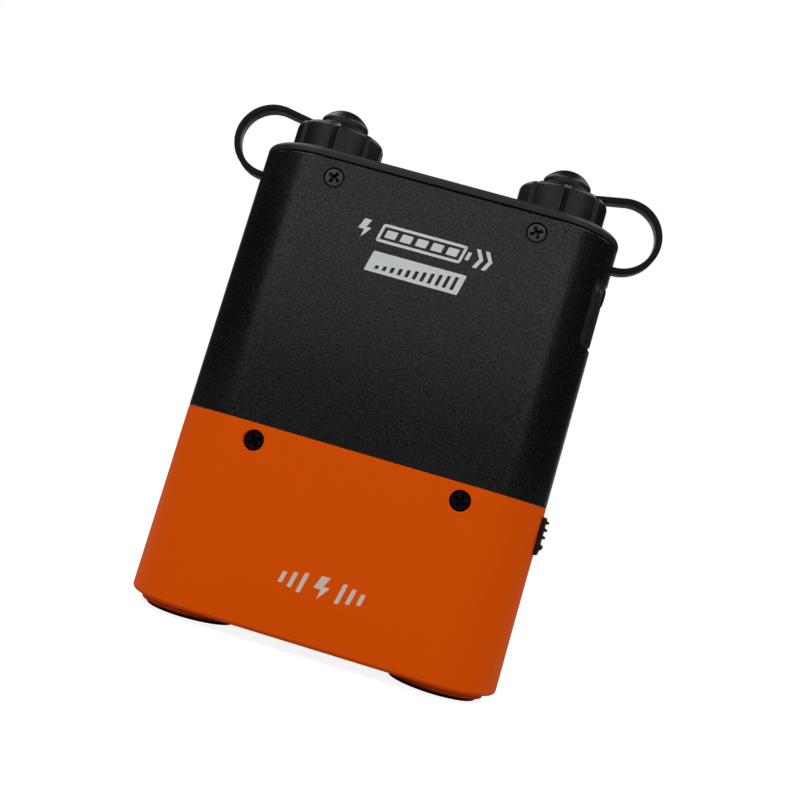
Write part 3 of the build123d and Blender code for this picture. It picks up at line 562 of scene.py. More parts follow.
# Each slot's maker, then its base colour (or the name of one that a user may change) and its own values.
FINISHES = {
    "orange_shell": (grained_paint, "battery", 0.03, 0.30 * MM, 0.006 * MM, 0.42, (0.92, 0.26, 0.05), 0.2,
                     0.05, 0.0),
    "black_shell": (grained_paint, "unit", 0.80, 0.58 * MM, 0.022 * MM, 0.25, (0.060, 0.065, 0.060), 0.5,
                    0.24, 0.9),
    "black_plastic": (moulded, "plastic", 0.46),
    "cap_plastic": (moulded, "rubber", 0.33, 0.6 * MM, 0.006 * MM, 0.36),
    "latch_plastic": (moulded, "plastic", 0.40, 0.45 * MM, 0.012 * MM, 0.3),
    "tether_rubber": (rubber, "rubber", 0.36),
    "foot_rubber": (rubber, "rubber", 0.62),
    "button_rubber": (rubber, (0.0070, 0.0070, 0.0079), 0.50),
    "dark_screw": (metal, (0.085, 0.086, 0.087), 0.38, 0.5 * MM, (1, 1, 1), 0.008 * MM),
    # The same screw metal made much darker for the battery's screws in their deep holes: painted shade
    "deep_screw": (metal, (0.016, 0.016, 0.017), 0.42, 0.5 * MM, (1, 1, 1), 0.008 * MM),
    "spring_steel": (metal, (0.50, 0.50, 0.52), 0.30),
    "nickel": (metal, (0.66, 0.63, 0.57), 0.26, 0.4 * MM, (1, 1, 0.1)),
    "contact_brass": (metal, (0.83, 0.58, 0.22), 0.24, 0.4 * MM, (1, 1, 0.1)),
    "bare_aluminium": (metal, (0.70, 0.71, 0.72), 0.34, 0.5 * MM, (0.1, 1, 1)),
    "chip_black": (moulded, (0.016, 0.016, 0.018), 0.55, 0.2 * MM),
    "chip_white": (moulded, (0.66, 0.65, 0.60), 0.45, 0.3 * MM),
    "ferrite": (moulded, (0.030, 0.030, 0.033), 0.62, 0.25 * MM, 0.03 * MM),
    "capacitor_sleeve": (layered, (0.02, 0.025, 0.06), 6 * MM, "X", 0.01 * MM, 0.30, 0.0, 0.85),
    "copper_wire": (layered, (0.72, 0.26, 0.10), 0.45 * MM, "Z", 0.12 * MM, 0.25, 0.9, 0.35),
    "circuit_board": (circuit_board,),
    "cell_pouch": (foil,),
    "foam": (foam_sheet,),
    "lens_clear": (lens,),
    "upper_ink": (ink, "mark"),
    "battery_ink": (ink, "battery_mark"),
}
SLOT_OF = {row["node"]: row["material_slot"] for row in frame["record"]["subparts"]}
made_finishes = {}


def finish_for(slot):
    """The material of a slot, made when it is first asked for."""
    if slot not in made_finishes:
        maker, *values = FINISHES[slot]
        if values and isinstance(values[0], str):
            values[0] = getattr(bpy.context.scene.pack_colours, values[0])
        made_finishes[slot] = maker(slot, *values)
    return made_finishes[slot]


# ---- Screws ----
def screw_places(node, sizes):
    """How far out and how high the four screws of a node stand."""
    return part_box(node)[1].x - sizes.screw_head / 2, middle(node).z


def screw_hole(diameter, depth, shank=None, flare=0.15 * MM):
    """The tool for a hole with a slightly broken edge, and a narrower way below it for a shank."""
    radius = diameter / 2
    mouth = 0.1 * MM
    profile = [(radius, -depth), (radius, -flare), (radius + flare + mouth, mouth), (0, mouth)]
    if shank:
        profile = [(0, -depth - 3 * MM), (shank / 2, -depth - 3 * MM), (shank / 2, -depth)] + profile
    else:
        profile = [(0, -depth)] + profile
    return lambda: turned(profile, steps=48)


def wall_screw(sizes):
    """A cross-recess screw along +Z, its head's face at z = 0."""
    head, shank = sizes.screw_head / 2, sizes.screw_shank / 2
    head_low, tip = -1.3 * MM, -6.3 * MM
    profile = [(0, tip), (shank - 0.5 * MM, tip), (shank - 0.25 * MM, tip + 0.5 * MM)]
    crest = tip + 0.9 * MM
    while crest < head_low - 0.6 * MM:
        profile += [(shank, crest), (shank - 0.25 * MM, crest + 0.25 * MM)]
        crest += 0.5 * MM
    face = head - sizes.screw_ring
    profile += [(shank - 0.25 * MM, head_low), (head, head_low), (head, -0.75 * MM),
                (face + 0.06 * MM, -0.6 * MM), (face, 0, 0.12 * MM), (0, 0)]
    return turned(profile, steps=48)


def cross_tool(turn):
    """The tapered cross of a screwdriver's tip, its top just above z = 0, turned by some degrees."""
    blades = []
    for angle in (turn, turn + 90):
        blade = block((-1.85 * MM, -0.48 * MM, -1.6 * MM), (1.85 * MM, 0.48 * MM, 0.1 * MM))
        for vert in blade.verts:
            if vert.co.z < -0.5 * MM:
                vert.co.x *= 0.30
                vert.co.y *= 0.35
        blades.append(moved(blade, Matrix.Rotation(math.radians(angle), 4, "Z")))
    return joined(*blades)


def build_screws(name, node, body, sizes, turns, slot="dark_screw"):
    """Four screws that share a node, each cross turned as it was left by the driver."""
    place = (*screw_places(node, sizes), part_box(node)[1].y)
    left = iter(turns)
    screws = object_of(name, around_walls(lambda: wall_screw(sizes), *place))
    carved(screws, around_walls(lambda: cross_tool(next(left)), *place), crossing=True)
    finished(screws, "dark_screw", [node], body)
    # The slot given may be the darker copy of the screw metal, which is painted shade
    screws.data.materials[0] = finish_for(slot)


# ---- Battery ----
def build_cup(sizes):
    """Orange cup with two foot bosses, four screw holes and the latch's slot."""
    low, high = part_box("battery_case")
    floor = low.z + sizes.foot_boss
    bm = upright(BODY_WIDTH, BODY_DEPTH, floor, high.z)
    rounded(bm, edges_at(bm, floor), sizes.edge_round, 6)
    rounded(bm, edges_at(bm, high.z), sizes.seam_chamfer, 2)
    top = cap_at(bm, high.z)
    inset(bm, top, sizes.wall - sizes.seam_chamfer)
    pushed(bm, top, (0, 0, floor + sizes.wall - high.z))
    cup = object_of("battery_cup", bm)

    pocket = span("foot_pads").y / 2 + GAP
    boss = pocket + sizes.foot_rim
    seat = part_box("foot_pads")[1].z
    root = floor + sizes.wall / 2
    for x in foot_places():
        carved(cup, turned([(0, root), (boss, root), (boss, low.z, 0.5 * MM), (pocket, low.z, 0.2 * MM),
                            (pocket, seat), (0, seat)], x), "UNION")
    spring_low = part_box("latch_spring")[0]
    hook_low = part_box("latch_slider")[0]
    carved(cup, block((hook_low.x - 0.5 * MM, -HOOK_HALF, spring_low.z - 2 * MM),
                      (high.x - sizes.wall / 2, HOOK_HALF, spring_low.z)), "UNION")
    hole = screw_hole(sizes.screw_head + SCREW_GAP, 3 * MM)
    carved(cup, around_walls(hole, *screw_places("battery_screws", sizes), SIDE_RADIUS))
    slot_high = hook_low.z + sizes.latch_height - STEM_DROP + STEM_GAP
    slot_low = slot_high - STEM_HEIGHT - sizes.latch_travel - 2 * STEM_GAP
    half = STEM_HALF + STEM_GAP
    carved(cup, block((high.x - 2 * sizes.wall, -half, slot_low), (high.x + MM, half, slot_high)))
    finished(cup, "orange_shell", ["battery_case"], "battery")


def foot_places():
    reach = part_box("foot_pads")[1].x - span("foot_pads").y / 2
    return (-reach, reach)


def build_foot_pads():
    low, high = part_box("foot_pads")
    radius = span("foot_pads").y / 2
    pads = []
    for x in foot_places():
        profile = [(0, low.z)]
        for groove in (3.2, 6.0, 8.8):
            near, far = (groove - 0.35) * MM, (groove + 0.35) * MM
            profile += [(near, low.z, 0.1 * MM), (near, low.z + 0.5 * MM), (far, low.z + 0.5 * MM),
                        (far, low.z, 0.1 * MM)]
        profile += [(radius, low.z, 0.45 * MM), (radius, high.z, 0.1 * MM), (0, high.z)]
        pads.append(turned(profile, x))
    finished(object_of("rubber_feet", joined(*pads)), "foot_rubber", ["foot_pads"], "battery")


# ---- Latch ----
def build_latch(sizes):
    """Thumb plate over the side, with a hump, three ribs and a wedge, then its stem and hook."""
    low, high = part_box("latch_slider")
    inner = SIDE_RADIUS + 0.3 * MM
    skin = inner + 0.8 * MM
    crest = high.x - SIDE_CENTRE
    bottom, top = low.z, low.z + sizes.latch_height
    profile = [(inner, bottom), (skin - 0.25 * MM, bottom, 0.15 * MM), (skin, bottom + 0.9 * MM, 0.3 * MM),
               (skin, bottom + 1.3 * MM, 0.15 * MM), (crest, bottom + 2.0 * MM, 0.3 * MM),
               (crest, bottom + 2.9 * MM, 0.3 * MM), (skin, bottom + 3.2 * MM, 0.15 * MM)]
    for rib in (5.0, 7.0, 9.0):
        z = bottom + rib * MM
        profile += [(skin, z - 0.5 * MM, 0.12 * MM), (crest, z - 0.3 * MM, 0.2 * MM),
                    (crest, z + 0.3 * MM, 0.2 * MM), (skin, z + 0.5 * MM, 0.12 * MM)]
    profile += [(skin, top, 0.3 * MM), (inner, top)]
    bm = outlined(profile, SIDE_CENTRE, corner_steps=3)
    half_turn = math.asin(sizes.latch_width / 2 / skin)
    centre = (SIDE_CENTRE, 0, 0)
    bmesh.ops.rotate(bm, cent=centre, matrix=Matrix.Rotation(-half_turn, 3, "Z"), verts=bm.verts[:])
    start = bm.edges[:]
    swept = bmesh.ops.spin(bm, geom=bm.verts[:] + start, cent=centre, axis=(0, 0, 1), angle=2 * half_turn,
                           steps=20)
    for loop in (start, only(bmesh.types.BMEdge, swept["geom_last"])):
        bmesh.ops.contextual_create(bm, geom=loop)
    bmesh.ops.recalc_face_normals(bm, faces=bm.faces[:])
    latch = object_of("latch", bm)
    stem_high = top - STEM_DROP
    carved(latch, block((low.x + MM, -STEM_HALF, stem_high - STEM_HEIGHT),
                        (SIDE_CENTRE + inner + STEM_GAP, STEM_HALF, stem_high)), "UNION")
    carved(latch, block((low.x, -HOOK_HALF, bottom), (low.x + 2.2 * MM, HOOK_HALF, high.z)), "UNION")
    finished(latch, "latch_plastic", ["latch_slider"], "latch")


def build_return_spring():
    """The spring under the latch, as a refined copy with a mesh of its own; the real one shortens as the
    latch comes down, this copy keeps its length.
    """
    spring = refined("return_spring", "latch_spring", "battery")
    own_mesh(spring)


# ---- Power unit ----
def tether_slots(sizes, depth):
    """The tool for both ways through the sides for the tethers."""
    half_y = sizes.tether_width / 2 + GAP
    half_z = sizes.tether_thickness / 2 + GAP
    z = tether_loop(sizes)[1] - sizes.tether_loop
    reach = BODY_WIDTH / 2
    return joined(*(block((min(side * (reach - depth), side * (reach + MM)), -half_y, z - half_z),
                          (max(side * (reach - depth), side * (reach + MM)), half_y, z + half_z))
                    for side in (-1, 1)))


def build_sleeve(sizes):
    """Black sleeve, open above and below, with its screw holes, tether slots and panel window."""
    low, high = SEAM_Z, SLEEVE_HIGH.z
    bm = upright(BODY_WIDTH, BODY_DEPTH, low, high)
    loops = []
    for z, edge in ((low, sizes.seam_chamfer), (high, RIM_ROUND)):
        rounded(bm, edges_at(bm, z), edge, 2)
        face = cap_at(bm, z)
        inset(bm, face, sizes.wall - edge)
        loops += face.edges[:]
        bmesh.ops.delete(bm, geom=[face], context="FACES_ONLY")
    bmesh.ops.bridge_loops(bm, edges=loops)
    bmesh.ops.recalc_face_normals(bm, faces=bm.faces[:])
    sleeve = object_of("sleeve", bm)

    hole = screw_hole(sizes.screw_head + SCREW_GAP, 1.3 * MM, sizes.screw_shank + SCREW_GAP, 0.08 * MM)
    carved(sleeve, around_walls(hole, *screw_places("upper_screws", sizes), SIDE_RADIUS))
    carved(sleeve, tether_slots(sizes, 2 * sizes.wall))
    panel_low, panel_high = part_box("control_board")
    window_low, window_high = panel_low.z - 0.5 * MM, panel_high.z
    half = 12 * MM
    window = block((SIDE_CENTRE, -half, window_low), (SLEEVE_HIGH.x + MM, half, window_high))
    along = [edge for edge in window.edges if abs(edge.verts[0].co.x - edge.verts[1].co.x) > MM]
    rounded(window, along, 2 * MM, 6)
    carved(sleeve, window)
    finished(sleeve, "black_shell", ["upper_sleeve"], "power_unit")


def build_top_plate(sizes):
    """Top plate with a rounded edge, its skirt inside the sleeve, and the ways for sockets and screws."""
    low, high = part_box("top_cover")
    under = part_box("top_gasket")[1].z
    bm = upright(BODY_WIDTH, BODY_DEPTH, under, high.z)
    rounded(bm, edges_at(bm, high.z), sizes.edge_round, 6)
    rounded(bm, edges_at(bm, under), RIM_ROUND, 2)
    cover = object_of("top_plate", bm)
    margin = sizes.wall + GAP
    skirt_width, skirt_depth = BODY_WIDTH - 2 * margin, BODY_DEPTH - 2 * margin
    carved(cover, upright(skirt_width, skirt_depth, low.z, under + MM), "UNION")
    thick = 1.8 * MM
    carved(cover, upright(skirt_width - 2 * thick, skirt_depth - 2 * thick, low.z - MM, under))
    x, z = screw_places("upper_screws", sizes)
    bosses = []
    for side in (-x, x):
        for near, far in ((-skirt_depth / 2 + 0.2 * MM, -skirt_depth / 2 + 4.4 * MM),
                          (skirt_depth / 2 - 4.4 * MM, skirt_depth / 2 - 0.2 * MM)):
            bosses.append(block((side - 4.2 * MM, near, low.z), (side + 4.2 * MM, far, under + 0.5 * MM)))
    carved(cover, joined(*bosses), "UNION")
    carved(cover, around_walls(screw_hole(sizes.screw_shank + SCREW_GAP, 7 * MM), x, z, SIDE_RADIUS))
    carved(cover, tether_slots(sizes, 2 * sizes.wall + thick))
    neck = span("right_cap_seal").x / 2 + GAP
    way = [(0, under - MM), (neck, under - MM), (neck, high.z + MM), (0, high.z + MM)]
    carved(cover, joined(*(turned(way, side, steps=72) for side in socket_places())))
    finished(cover, "black_plastic", ["top_cover"], "power_unit")


def socket_places():
    reach = middle("right_socket").x
    return (-reach, reach)


# ---- Output sockets, caps and tethers ----
def build_socket(side, x, sizes):
    """Threaded neck, flange and barrel, bored through."""
    low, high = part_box(side + "_socket")
    bore = span(side + "_socket_insert").x / 2 + 0.05 * MM
    neck = span(side + "_cap_seal").x / 2
    flange = span(side + "_socket").x / 2
    flange_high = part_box("top_gasket")[1].z
    barrel = 7.8 * MM
    profile = [(bore, low.z), (barrel, low.z, 0.3 * MM), (barrel, flange_high - 2 * MM),
               (flange, flange_high - 2 * MM), (flange, flange_high), (neck - 0.5 * MM, flange_high)]
    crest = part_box("top_cover")[1].z + MM
    while crest < high.z - 0.8 * MM:
        profile += [(neck - 0.5 * MM, crest - 0.45 * MM, 0.08 * MM), (neck, crest - 0.1 * MM, 0.08 * MM),
                    (neck, crest + 0.1 * MM, 0.08 * MM), (neck - 0.5 * MM, crest + 0.45 * MM, 0.08 * MM)]
        crest += sizes.thread_pitch
    profile += [(neck - 0.5 * MM, high.z, 0.3 * MM), (bore, high.z, 0.3 * MM)]
    socket = object_of(side + "_threaded_socket", turned(profile, x))
    finished(socket, SLOT_OF[side + "_socket"], [side + "_socket"], "power_unit")


def build_cap(side, x, sizes):
    """Screw cap whose wall is pressed in by grip flutes that die out over the top's edge."""
    low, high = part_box(side + "_cap")
    radius = (high.x - low.x) / 2
    bore = span(side + "_cap_seal").x / 2 + 0.3 * MM
    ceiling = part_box(side + "_cap_seal")[1].z
    profile = [(0, ceiling), (bore, ceiling, 0.4 * MM), (bore, low.z, 0.2 * MM), (radius, low.z, 0.5 * MM),
               (radius, high.z, sizes.cap_round), (radius - 3.2 * MM, high.z), (0, high.z)]
    bm = turned(profile, x, steps=40 * sizes.cap_lobes, corner_steps=6)
    fade_from = radius - 3.4 * MM
    for vert in bm.verts:
        offset = vert.co - Vector((x, 0, vert.co.z))
        reach = offset.length
        if reach <= max(fade_from, bore + 0.4 * MM):
            continue
        angle = math.atan2(offset.y, offset.x) / (2 * math.pi / sizes.cap_lobes)
        away = abs(angle - round(angle)) * (2 * math.pi / sizes.cap_lobes) * radius
        share = (reach - fade_from) / (radius - fade_from)
        fade = share * share * (3 - 2 * share)
        depth = sizes.cap_flute * fade * math.exp(-(away / sizes.cap_flute_width) ** 2)
        vert.co -= offset.normalized() * depth
    cap = object_of(side + "_screw_cap", bm)
    finished(cap, "cap_plastic", [side + "_cap"], side + "_cap")


def build_hub(side, x, sizes):
    """The button that holds the tether's ring on its cap, with a top like part of a ball."""
    low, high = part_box(side + "_cap_hub")
    head = span(side + "_cap_hub").x / 2
    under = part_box(side + "_tether_ring")[1].z + 0.1 * MM
    stem = 4.5 * MM
    ball = sizes.hub_ball
    centre = high.z - ball
    lean = math.asin(head / ball)
    step = lean / 4
    profile = [(0, low.z), (stem, low.z), (stem, under), (head, under),
               (head, centre + ball * math.cos(lean), 0.3 * MM)]
    for count in (3, 1):
        corner = ball / math.cos(step)
        profile.append((corner * math.sin(count * step), centre + corner * math.cos(count * step),
                        0.96 * ball * math.tan(step)))
    dome = object_of(side + "_hub_dome", turned(profile + [(0, high.z)], x, corner_steps=8))
    finished(dome, SLOT_OF[side + "_cap_hub"], [side + "_cap_hub"], side + "_cap")


def tether_loop(sizes):
    """Centre of the right-hand tether's loop, as x and z."""
    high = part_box("right_tether_band")[1]
    reach = sizes.tether_loop + sizes.tether_thickness / 2
    return high.x - reach, high.z - reach


def build_tether(side, sign, sizes):
    """Ring under the hub and a flat band that loops over the side and goes into it, in one piece."""
    low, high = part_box("right_tether_ring")
    centre = middle("right_tether_ring")
    ring_radius = span("right_tether_ring").x / 2
    hole = 4.8 * MM
    ring = turned([(hole, low.z, 0.3 * MM), (ring_radius, low.z, 0.25 * MM),
                   (ring_radius - 0.1 * MM, low.z + 0.9 * MM), (ring_radius - 0.65 * MM, high.z, 0.12 * MM),
                   (hole, high.z, 0.3 * MM)], centre.x)
    loop_x, loop_z = tether_loop(sizes)
    start = Vector((centre.x + ring_radius, 0, centre.z + 0.1 * MM))
    rise = Vector((loop_x, 0, loop_z)) - start
    lean = math.atan2(rise.z, rise.x) + math.asin(sizes.tether_loop / rise.length)
    run = math.sqrt(rise.length ** 2 - sizes.tether_loop ** 2)
    along = Vector((math.cos(lean), 0, math.sin(lean)))
    overlap = 1.5 * MM

    band = bmesh.new()
    bmesh.ops.create_grid(band, x_segments=1, y_segments=1, size=0.5)
    bmesh.ops.scale(band, vec=(sizes.tether_thickness, sizes.tether_width, 1), verts=band.verts[:])
    rounded(band, band.verts[:], 0.3 * MM, affect="VERTICES")
    bmesh.ops.delete(band, geom=band.faces[:], context="FACES_ONLY")
    place = Matrix.Translation(start - along * overlap) @ Matrix.Rotation(math.pi / 2 - lean, 4, "Y")
    bmesh.ops.transform(band, matrix=place, verts=band.verts[:])
    ends = [band.edges[:]]
    edges = drawn_out(band, band.edges[:], along * (run + overlap), 4)
    end = start + along * run
    turn = math.atan2(end.z - loop_z, end.x - loop_x) + math.pi / 2
    swept = bmesh.ops.spin(band, geom=edges, cent=(loop_x, 0, loop_z), axis=(0, 1, 0), angle=turn, steps=72)
    edges = only(bmesh.types.BMEdge, swept["geom_last"])
    inside = loop_x - (BODY_WIDTH / 2 - 2 * sizes.wall - 2.4 * MM)
    edges = drawn_out(band, edges, Vector((-inside, 0, 0)), 4)
    ends.append(edges)
    for loop in ends:
        bmesh.ops.contextual_create(band, geom=loop)
    bmesh.ops.recalc_face_normals(band, faces=band.faces[:])

    if sign < 0:
        ring, band = (moved(shape, Matrix.Diagonal((-1, 1, 1, 1))) for shape in (ring, band))
    tether = object_of(side + "_tether", ring)
    carved(tether, band, "UNION")
    finished(tether, "tether_rubber", [side + "_tether_ring", side + "_tether_band"], None, weighted=False)
    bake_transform(tether)


def drawn_out(bm, edges, move, steps):
    """Draws a loop of edges out along a vector in equal steps and returns the far loop."""
    for _ in range(steps):
        grown = bmesh.ops.extrude_edge_only(bm, edges=edges)["geom"]
        bmesh.ops.translate(bm, vec=move / steps, verts=only(bmesh.types.BMVert, grown))
        edges = [edge for edge in only(bmesh.types.BMEdge, grown)
                 if all(vert in grown for vert in edge.verts) and len(edge.link_faces) == 1]
    return edges


# ---- Marks ----
SLANT = 0.22                # every mark leans to the right by this share of its height


def slanted(x0, x1, z0, z1, base):
    """The corners of an upright box, leaning; base is the height that stays in place."""
    return [(x + (z - base) * SLANT, z) for x, z in ((x0, z0), (x1, z0), (x1, z1), (x0, z1))]


def bolt(x, z, height):
    """A plain lightning bolt about its middle."""
    outline = [(-0.10, -0.50), (0.34, 0.08), (0.06, 0.08), (0.26, 0.50), (-0.12, 0.50), (-0.34, -0.06),
               (-0.02, -0.06)]
    return [(x + px * height, z + pz * height) for px, pz in outline]


PRINT = (FRONT_Y - 0.03 * MM, FRONT_Y + 0.05 * MM)      # front and back of the ink's film


def build_upper_marks():
    """A charge mark over a level scale, both generic."""
    z, half = SLEEVE_HIGH.z - 15.4 * MM, 2.5 * MM
    low, high = z - half, z + half
    shapes = [plate(bolt(-15.6 * MM, z, 2 * half), *PRINT),
              plate(slanted(-11.6 * MM, 11.0 * MM, low, high, z), *PRINT, 0.7 * MM, 0.75 * MM)]
    for index in range(5):
        x = (-9.9 + 4.1 * index) * MM
        block_shape = slanted(x, x + 2.9 * MM, low + 1.45 * MM, high - 1.45 * MM, z)
        shapes.append(plate(block_shape, *PRINT, 0.2 * MM))
    shapes.append(plate(slanted(11.6 * MM, 12.6 * MM, z - 1.1 * MM, z + 1.1 * MM, z), *PRINT, 0.2 * MM))
    for x in (14.6 * MM, 17.0 * MM):
        arrow = [(x - 0.9 * MM, low), (x + 0.2 * MM, low), (x + 1.5 * MM, z), (x + 0.2 * MM, high),
                 (x - 0.9 * MM, high), (x + 0.4 * MM, z)]
        shapes.append(plate(arrow, *PRINT))
    finished(object_of("charge_mark", joined(*shapes)), "upper_ink", [], "power_unit", weighted=False)

    bar_z = SLEEVE_HIGH.z - 23.2 * MM
    bar = object_of("level_bar", plate(
        slanted(-12.2 * MM, 12.6 * MM, bar_z - 2.75 * MM, bar_z + 2.75 * MM, bar_z), *PRINT, 0.25 * MM))
    ticks = []
    for index in range(11):
        x = (-9.9 + 2.0 * index) * MM
        rise = (1.0 + 0.26 * index) * MM
        ticks.append(plate(slanted(x, x + 0.95 * MM, bar_z - 1.8 * MM, bar_z - 1.8 * MM + rise, bar_z),
                           PRINT[0] - MM, PRINT[1] + MM))
    carved(bar, joined(*ticks))
    finished(bar, "upper_ink", [], "power_unit", weighted=False)


def build_battery_mark():
    """A plain bolt between slanting strokes."""
    z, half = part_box("foot_pads")[0].z + 17.9 * MM, 2.6 * MM
    centre = 0.2 * MM
    shapes = [plate(bolt(centre, z, 2.3 * half), *PRINT)]
    for index in range(3):
        height = half * (1 - 0.22 * index)
        for side in (-1, 1):
            x = centre + side * (5.0 + 2.6 * index) * MM
            shapes.append(plate(slanted(x - 0.55 * MM, x + 0.55 * MM, z - height, z + height, z), *PRINT,
                                0.25 * MM))
    finished(object_of("battery_mark", joined(*shapes)), "battery_ink", [], "battery", weighted=False)


# ---- Stage ----
def build_floor(size, pale):
    """A pale floor that looks white but for the pack's shade, and throws back a soft share of the light."""
    bm = bmesh.new()
    bmesh.ops.create_grid(bm, x_segments=1, y_segments=1, size=size / 2)
    floor = object_of("floor", bm)
    graph = Graph("pale_floor")
    shade = graph.mixed(graph.noise(60 * MM, 2.0), (pale,) * 3 + (1,), (pale + 0.02,) * 3 + (1,))
    cloth = graph.node("ShaderNodeBsdfDiffuse", None, {"Color": shade}).outputs[0]
    far = graph.node("ShaderNodeVectorMath", {"operation": "LENGTH"}, {0: graph.place}).outputs["Value"]
    glow = graph.ramp(far, (0.0, 0.88), (0.9, 1.0))
    light = graph.node("ShaderNodeEmission", None, {"Strength": glow}).outputs[0]
    bright = graph.node("ShaderNodeAddShader", None, {0: cloth, 1: light}).outputs[0]
    graph.node("ShaderNodeOutputMaterial", None, {"Surface": graph.seen_and_given(bright, cloth)})
    floor.data.materials.append(graph.owner)


def soft_light(name, place, width, height, watts, tint=(1, 1, 1)):
    """A soft box that faces the middle of the pack."""
    data = bpy.data.lights.new(name, "AREA")
    data.shape = "RECTANGLE"
    data.size, data.size_y = width, height
    data.energy = watts
    data.color = tint
    light = bpy.data.objects.new(name, data)
    light.location = place
    light.rotation_mode = "QUATERNION"
    light.rotation_quaternion = (Vector((0, 0, 70 * MM)) - Vector(place)).to_track_quat("-Z", "Y")
    light.visible_camera = False
    bpy.context.scene.collection.objects.link(light)


def build_world(front, side, back):
    """White to the camera. It lights the pack by different amounts from the front, sides and back."""
    bpy.context.scene.world = bpy.data.worlds.new("studio")
    graph = Graph(bpy.context.scene.world)
    direction = graph.node("ShaderNodeTexCoord").outputs["Generated"]
    along = Value(graph, graph.node("ShaderNodeSeparateXYZ", None, {0: direction}).outputs["Y"])
    strength = graph.ramp(along * 0.5 + 0.5, (0.0, front), (0.5, side), (0.90, side), (1.0, back))
    white = {"Color": (1, 1, 1, 1)}
    seen = graph.node("ShaderNodeBackground", None, white).outputs[0]
    given = graph.node("ShaderNodeBackground", None, {**white, "Strength": strength}).outputs[0]
    graph.node("ShaderNodeOutputWorld", None, {0: graph.seen_and_given(seen, given)})


def build_camera(stage):
    """A camera a little left of the front and low, rolled so that the pack leans to the right."""
    eye = Vector((23.06, -267.21, 45.01)) * MM
    aim = Vector((4.4, 0.0, 70.2)) * MM
    data = bpy.data.cameras.new("camera")
    data.lens = stage.lens
    data.clip_start, data.clip_end = 0.01, 50.0
    camera = bpy.data.objects.new("camera", data)
    camera.location = eye
    camera.rotation_mode = "QUATERNION"
    level = (aim - eye).to_track_quat("-Z", "Y")
    camera.rotation_quaternion = level @ Matrix.Rotation(stage.roll, 3, "Z").to_quaternion()
    bpy.context.scene.collection.objects.link(camera)
    bpy.context.scene.camera = camera


# ---- Operators ----
class PACK_OT_finishes(bpy.types.Operator):
    """Give every carried-over node its finish"""

    bl_idname = "pack.finishes"
    bl_label = "Finishes"

    def execute(self, context):
        for name, node in frame["nodes"].items():
            node.data.materials.clear()
            node.data.materials.append(finish_for(SLOT_OF[name]))
        return {"FINISHED"}


class PACK_OT_battery(bpy.types.Operator):
    """Build the battery's cup, feet, screws and lid"""

    bl_idname = "pack.battery"
    bl_label = "Battery"

    def execute(self, context):
        sizes = context.scene.pack_sizes
        build_cup(sizes)
        build_foot_pads()
        # These screws sit deep in the cup and take the darker screw metal, painted shade
        build_screws("deep_screws", "battery_screws", "battery", sizes, (35, 10, 70, 50), "deep_screw")
        refined("battery_top", "battery_lid", "battery", 0.2 * MM)
        return {"FINISHED"}


class PACK_OT_latch(bpy.types.Operator):
    """Build the side latch and its spring"""

    bl_idname = "pack.latch"
    bl_label = "Latch"

    def execute(self, context):
        build_latch(context.scene.pack_sizes)
        build_return_spring()
        return {"FINISHED"}


class PACK_OT_power_unit(bpy.types.Operator):
    """Build the power unit's sleeve, top plate, screws and floor"""

    bl_idname = "pack.power_unit"
    bl_label = "Power Unit"

    def execute(self, context):
        sizes = context.scene.pack_sizes
        build_sleeve(sizes)
        build_top_plate(sizes)
        build_screws("flush_screws", "upper_screws", "power_unit", sizes, (61, 15, 27, 80))
        refined("unit_floor", "dock_plate", "power_unit", 0.2 * MM)
        return {"FINISHED"}


class PACK_OT_side_panel(bpy.types.Operator):
    """Build the side panel, its button and the port's flap"""

    bl_idname = "pack.side_panel"
    bl_label = "Side Panel"

    def execute(self, context):
        refined("panel_bezel", "side_panel", "power_unit", 0.12 * MM)
        refined("button", "power_button", "power_button", 0.1 * MM)
        refined("port_flap", "port_cover", "port_cover", 0.12 * MM)
        return {"FINISHED"}


class PACK_OT_outputs(bpy.types.Operator):
    """Build the two output sockets with their caps and tethers"""

    bl_idname = "pack.outputs"
    bl_label = "Outputs"

    def execute(self, context):
        sizes = context.scene.pack_sizes
        for side, sign, x in zip(("left", "right"), (-1, 1), socket_places()):
            build_socket(side, x, sizes)
            build_cap(side, x, sizes)
            build_hub(side, x, sizes)
            build_tether(side, sign, sizes)
        return {"FINISHED"}


class PACK_OT_marks(bpy.types.Operator):
    """Print the generic marks on both halves"""

    bl_idname = "pack.marks"
    bl_label = "Marks"

    def execute(self, context):
        build_upper_marks()
        build_battery_mark()
        return {"FINISHED"}


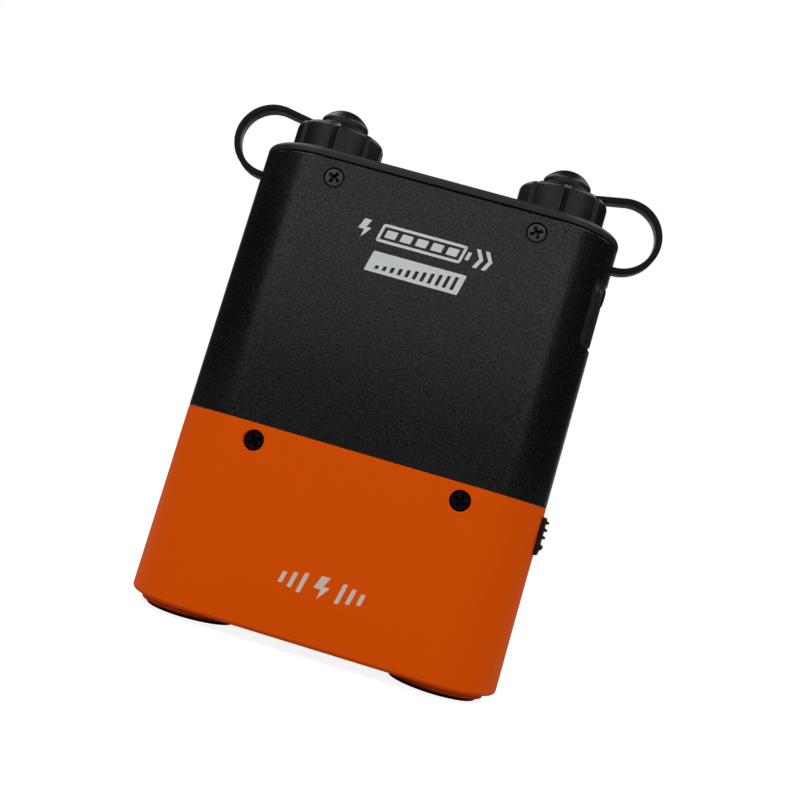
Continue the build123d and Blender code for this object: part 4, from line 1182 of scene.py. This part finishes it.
class PACK_OT_stage(bpy.types.Operator):
    """Set the floor, lights and camera"""

    bl_idname = "pack.stage"
    bl_label = "Stage"

    def execute(self, context):
        stage = context.scene.pack_stage
        context.scene.view_settings.view_transform = "Standard"
        build_floor(stage.floor, pale=0.40)
        build_world(front=0.07, side=0.02, back=0.40)
        soft_light("front", (0.0, -0.95, 0.42), 2.10, 0.42, 2.2, (0.98, 1.03, 0.98))
        soft_light("left_above", (-0.75, -0.55, 1.15), 0.9, 0.9, 8.8)
        soft_light("right_above", (0.75, -0.55, 1.15), 0.9, 0.9, 7.6)
        soft_light("left_side", (-0.80, 0.45, 1.05), 0.7, 0.7, 4.2)
        soft_light("right_side", (0.80, 0.45, 1.05), 0.7, 0.7, 3.8)
        soft_light("back", (0.0, 0.95, 0.30), 0.6, 0.45, 1.2)
        build_camera(stage)
        return {"FINISHED"}


STEPS = (PACK_OT_finishes, PACK_OT_battery, PACK_OT_latch, PACK_OT_power_unit, PACK_OT_side_panel,
         PACK_OT_outputs, PACK_OT_marks, PACK_OT_stage)


class PACK_PT_panel(bpy.types.Panel):
    bl_label = "Battery Pack"
    bl_idname = "PACK_PT_panel"
    bl_space_type = "VIEW_3D"
    bl_region_type = "UI"
    bl_category = "Battery Pack"

    def draw(self, context):
        for step in STEPS:
            self.layout.operator(step.bl_idname)
        for group in (context.scene.pack_sizes, context.scene.pack_colours, context.scene.pack_stage):
            box = self.layout.box()
            for name in group.__annotations__:
                box.prop(group, name)


CLASSES = (PackSizes, PackColours, PackStage, *STEPS, PACK_PT_panel)


def register():
    for item in CLASSES:
        bpy.utils.register_class(item)
    bpy.types.Scene.pack_sizes = bpy.props.PointerProperty(type=PackSizes)
    bpy.types.Scene.pack_colours = bpy.props.PointerProperty(type=PackColours)
    bpy.types.Scene.pack_stage = bpy.props.PointerProperty(type=PackStage)


def unregister():
    del bpy.types.Scene.pack_sizes, bpy.types.Scene.pack_colours, bpy.types.Scene.pack_stage
    for item in reversed(CLASSES):
        bpy.utils.unregister_class(item)


def main():
    register()
    for step in STEPS:
        group, name = step.bl_idname.split(".")
        getattr(getattr(bpy.ops, group), name)()


if __name__ == "__main__":
    main()
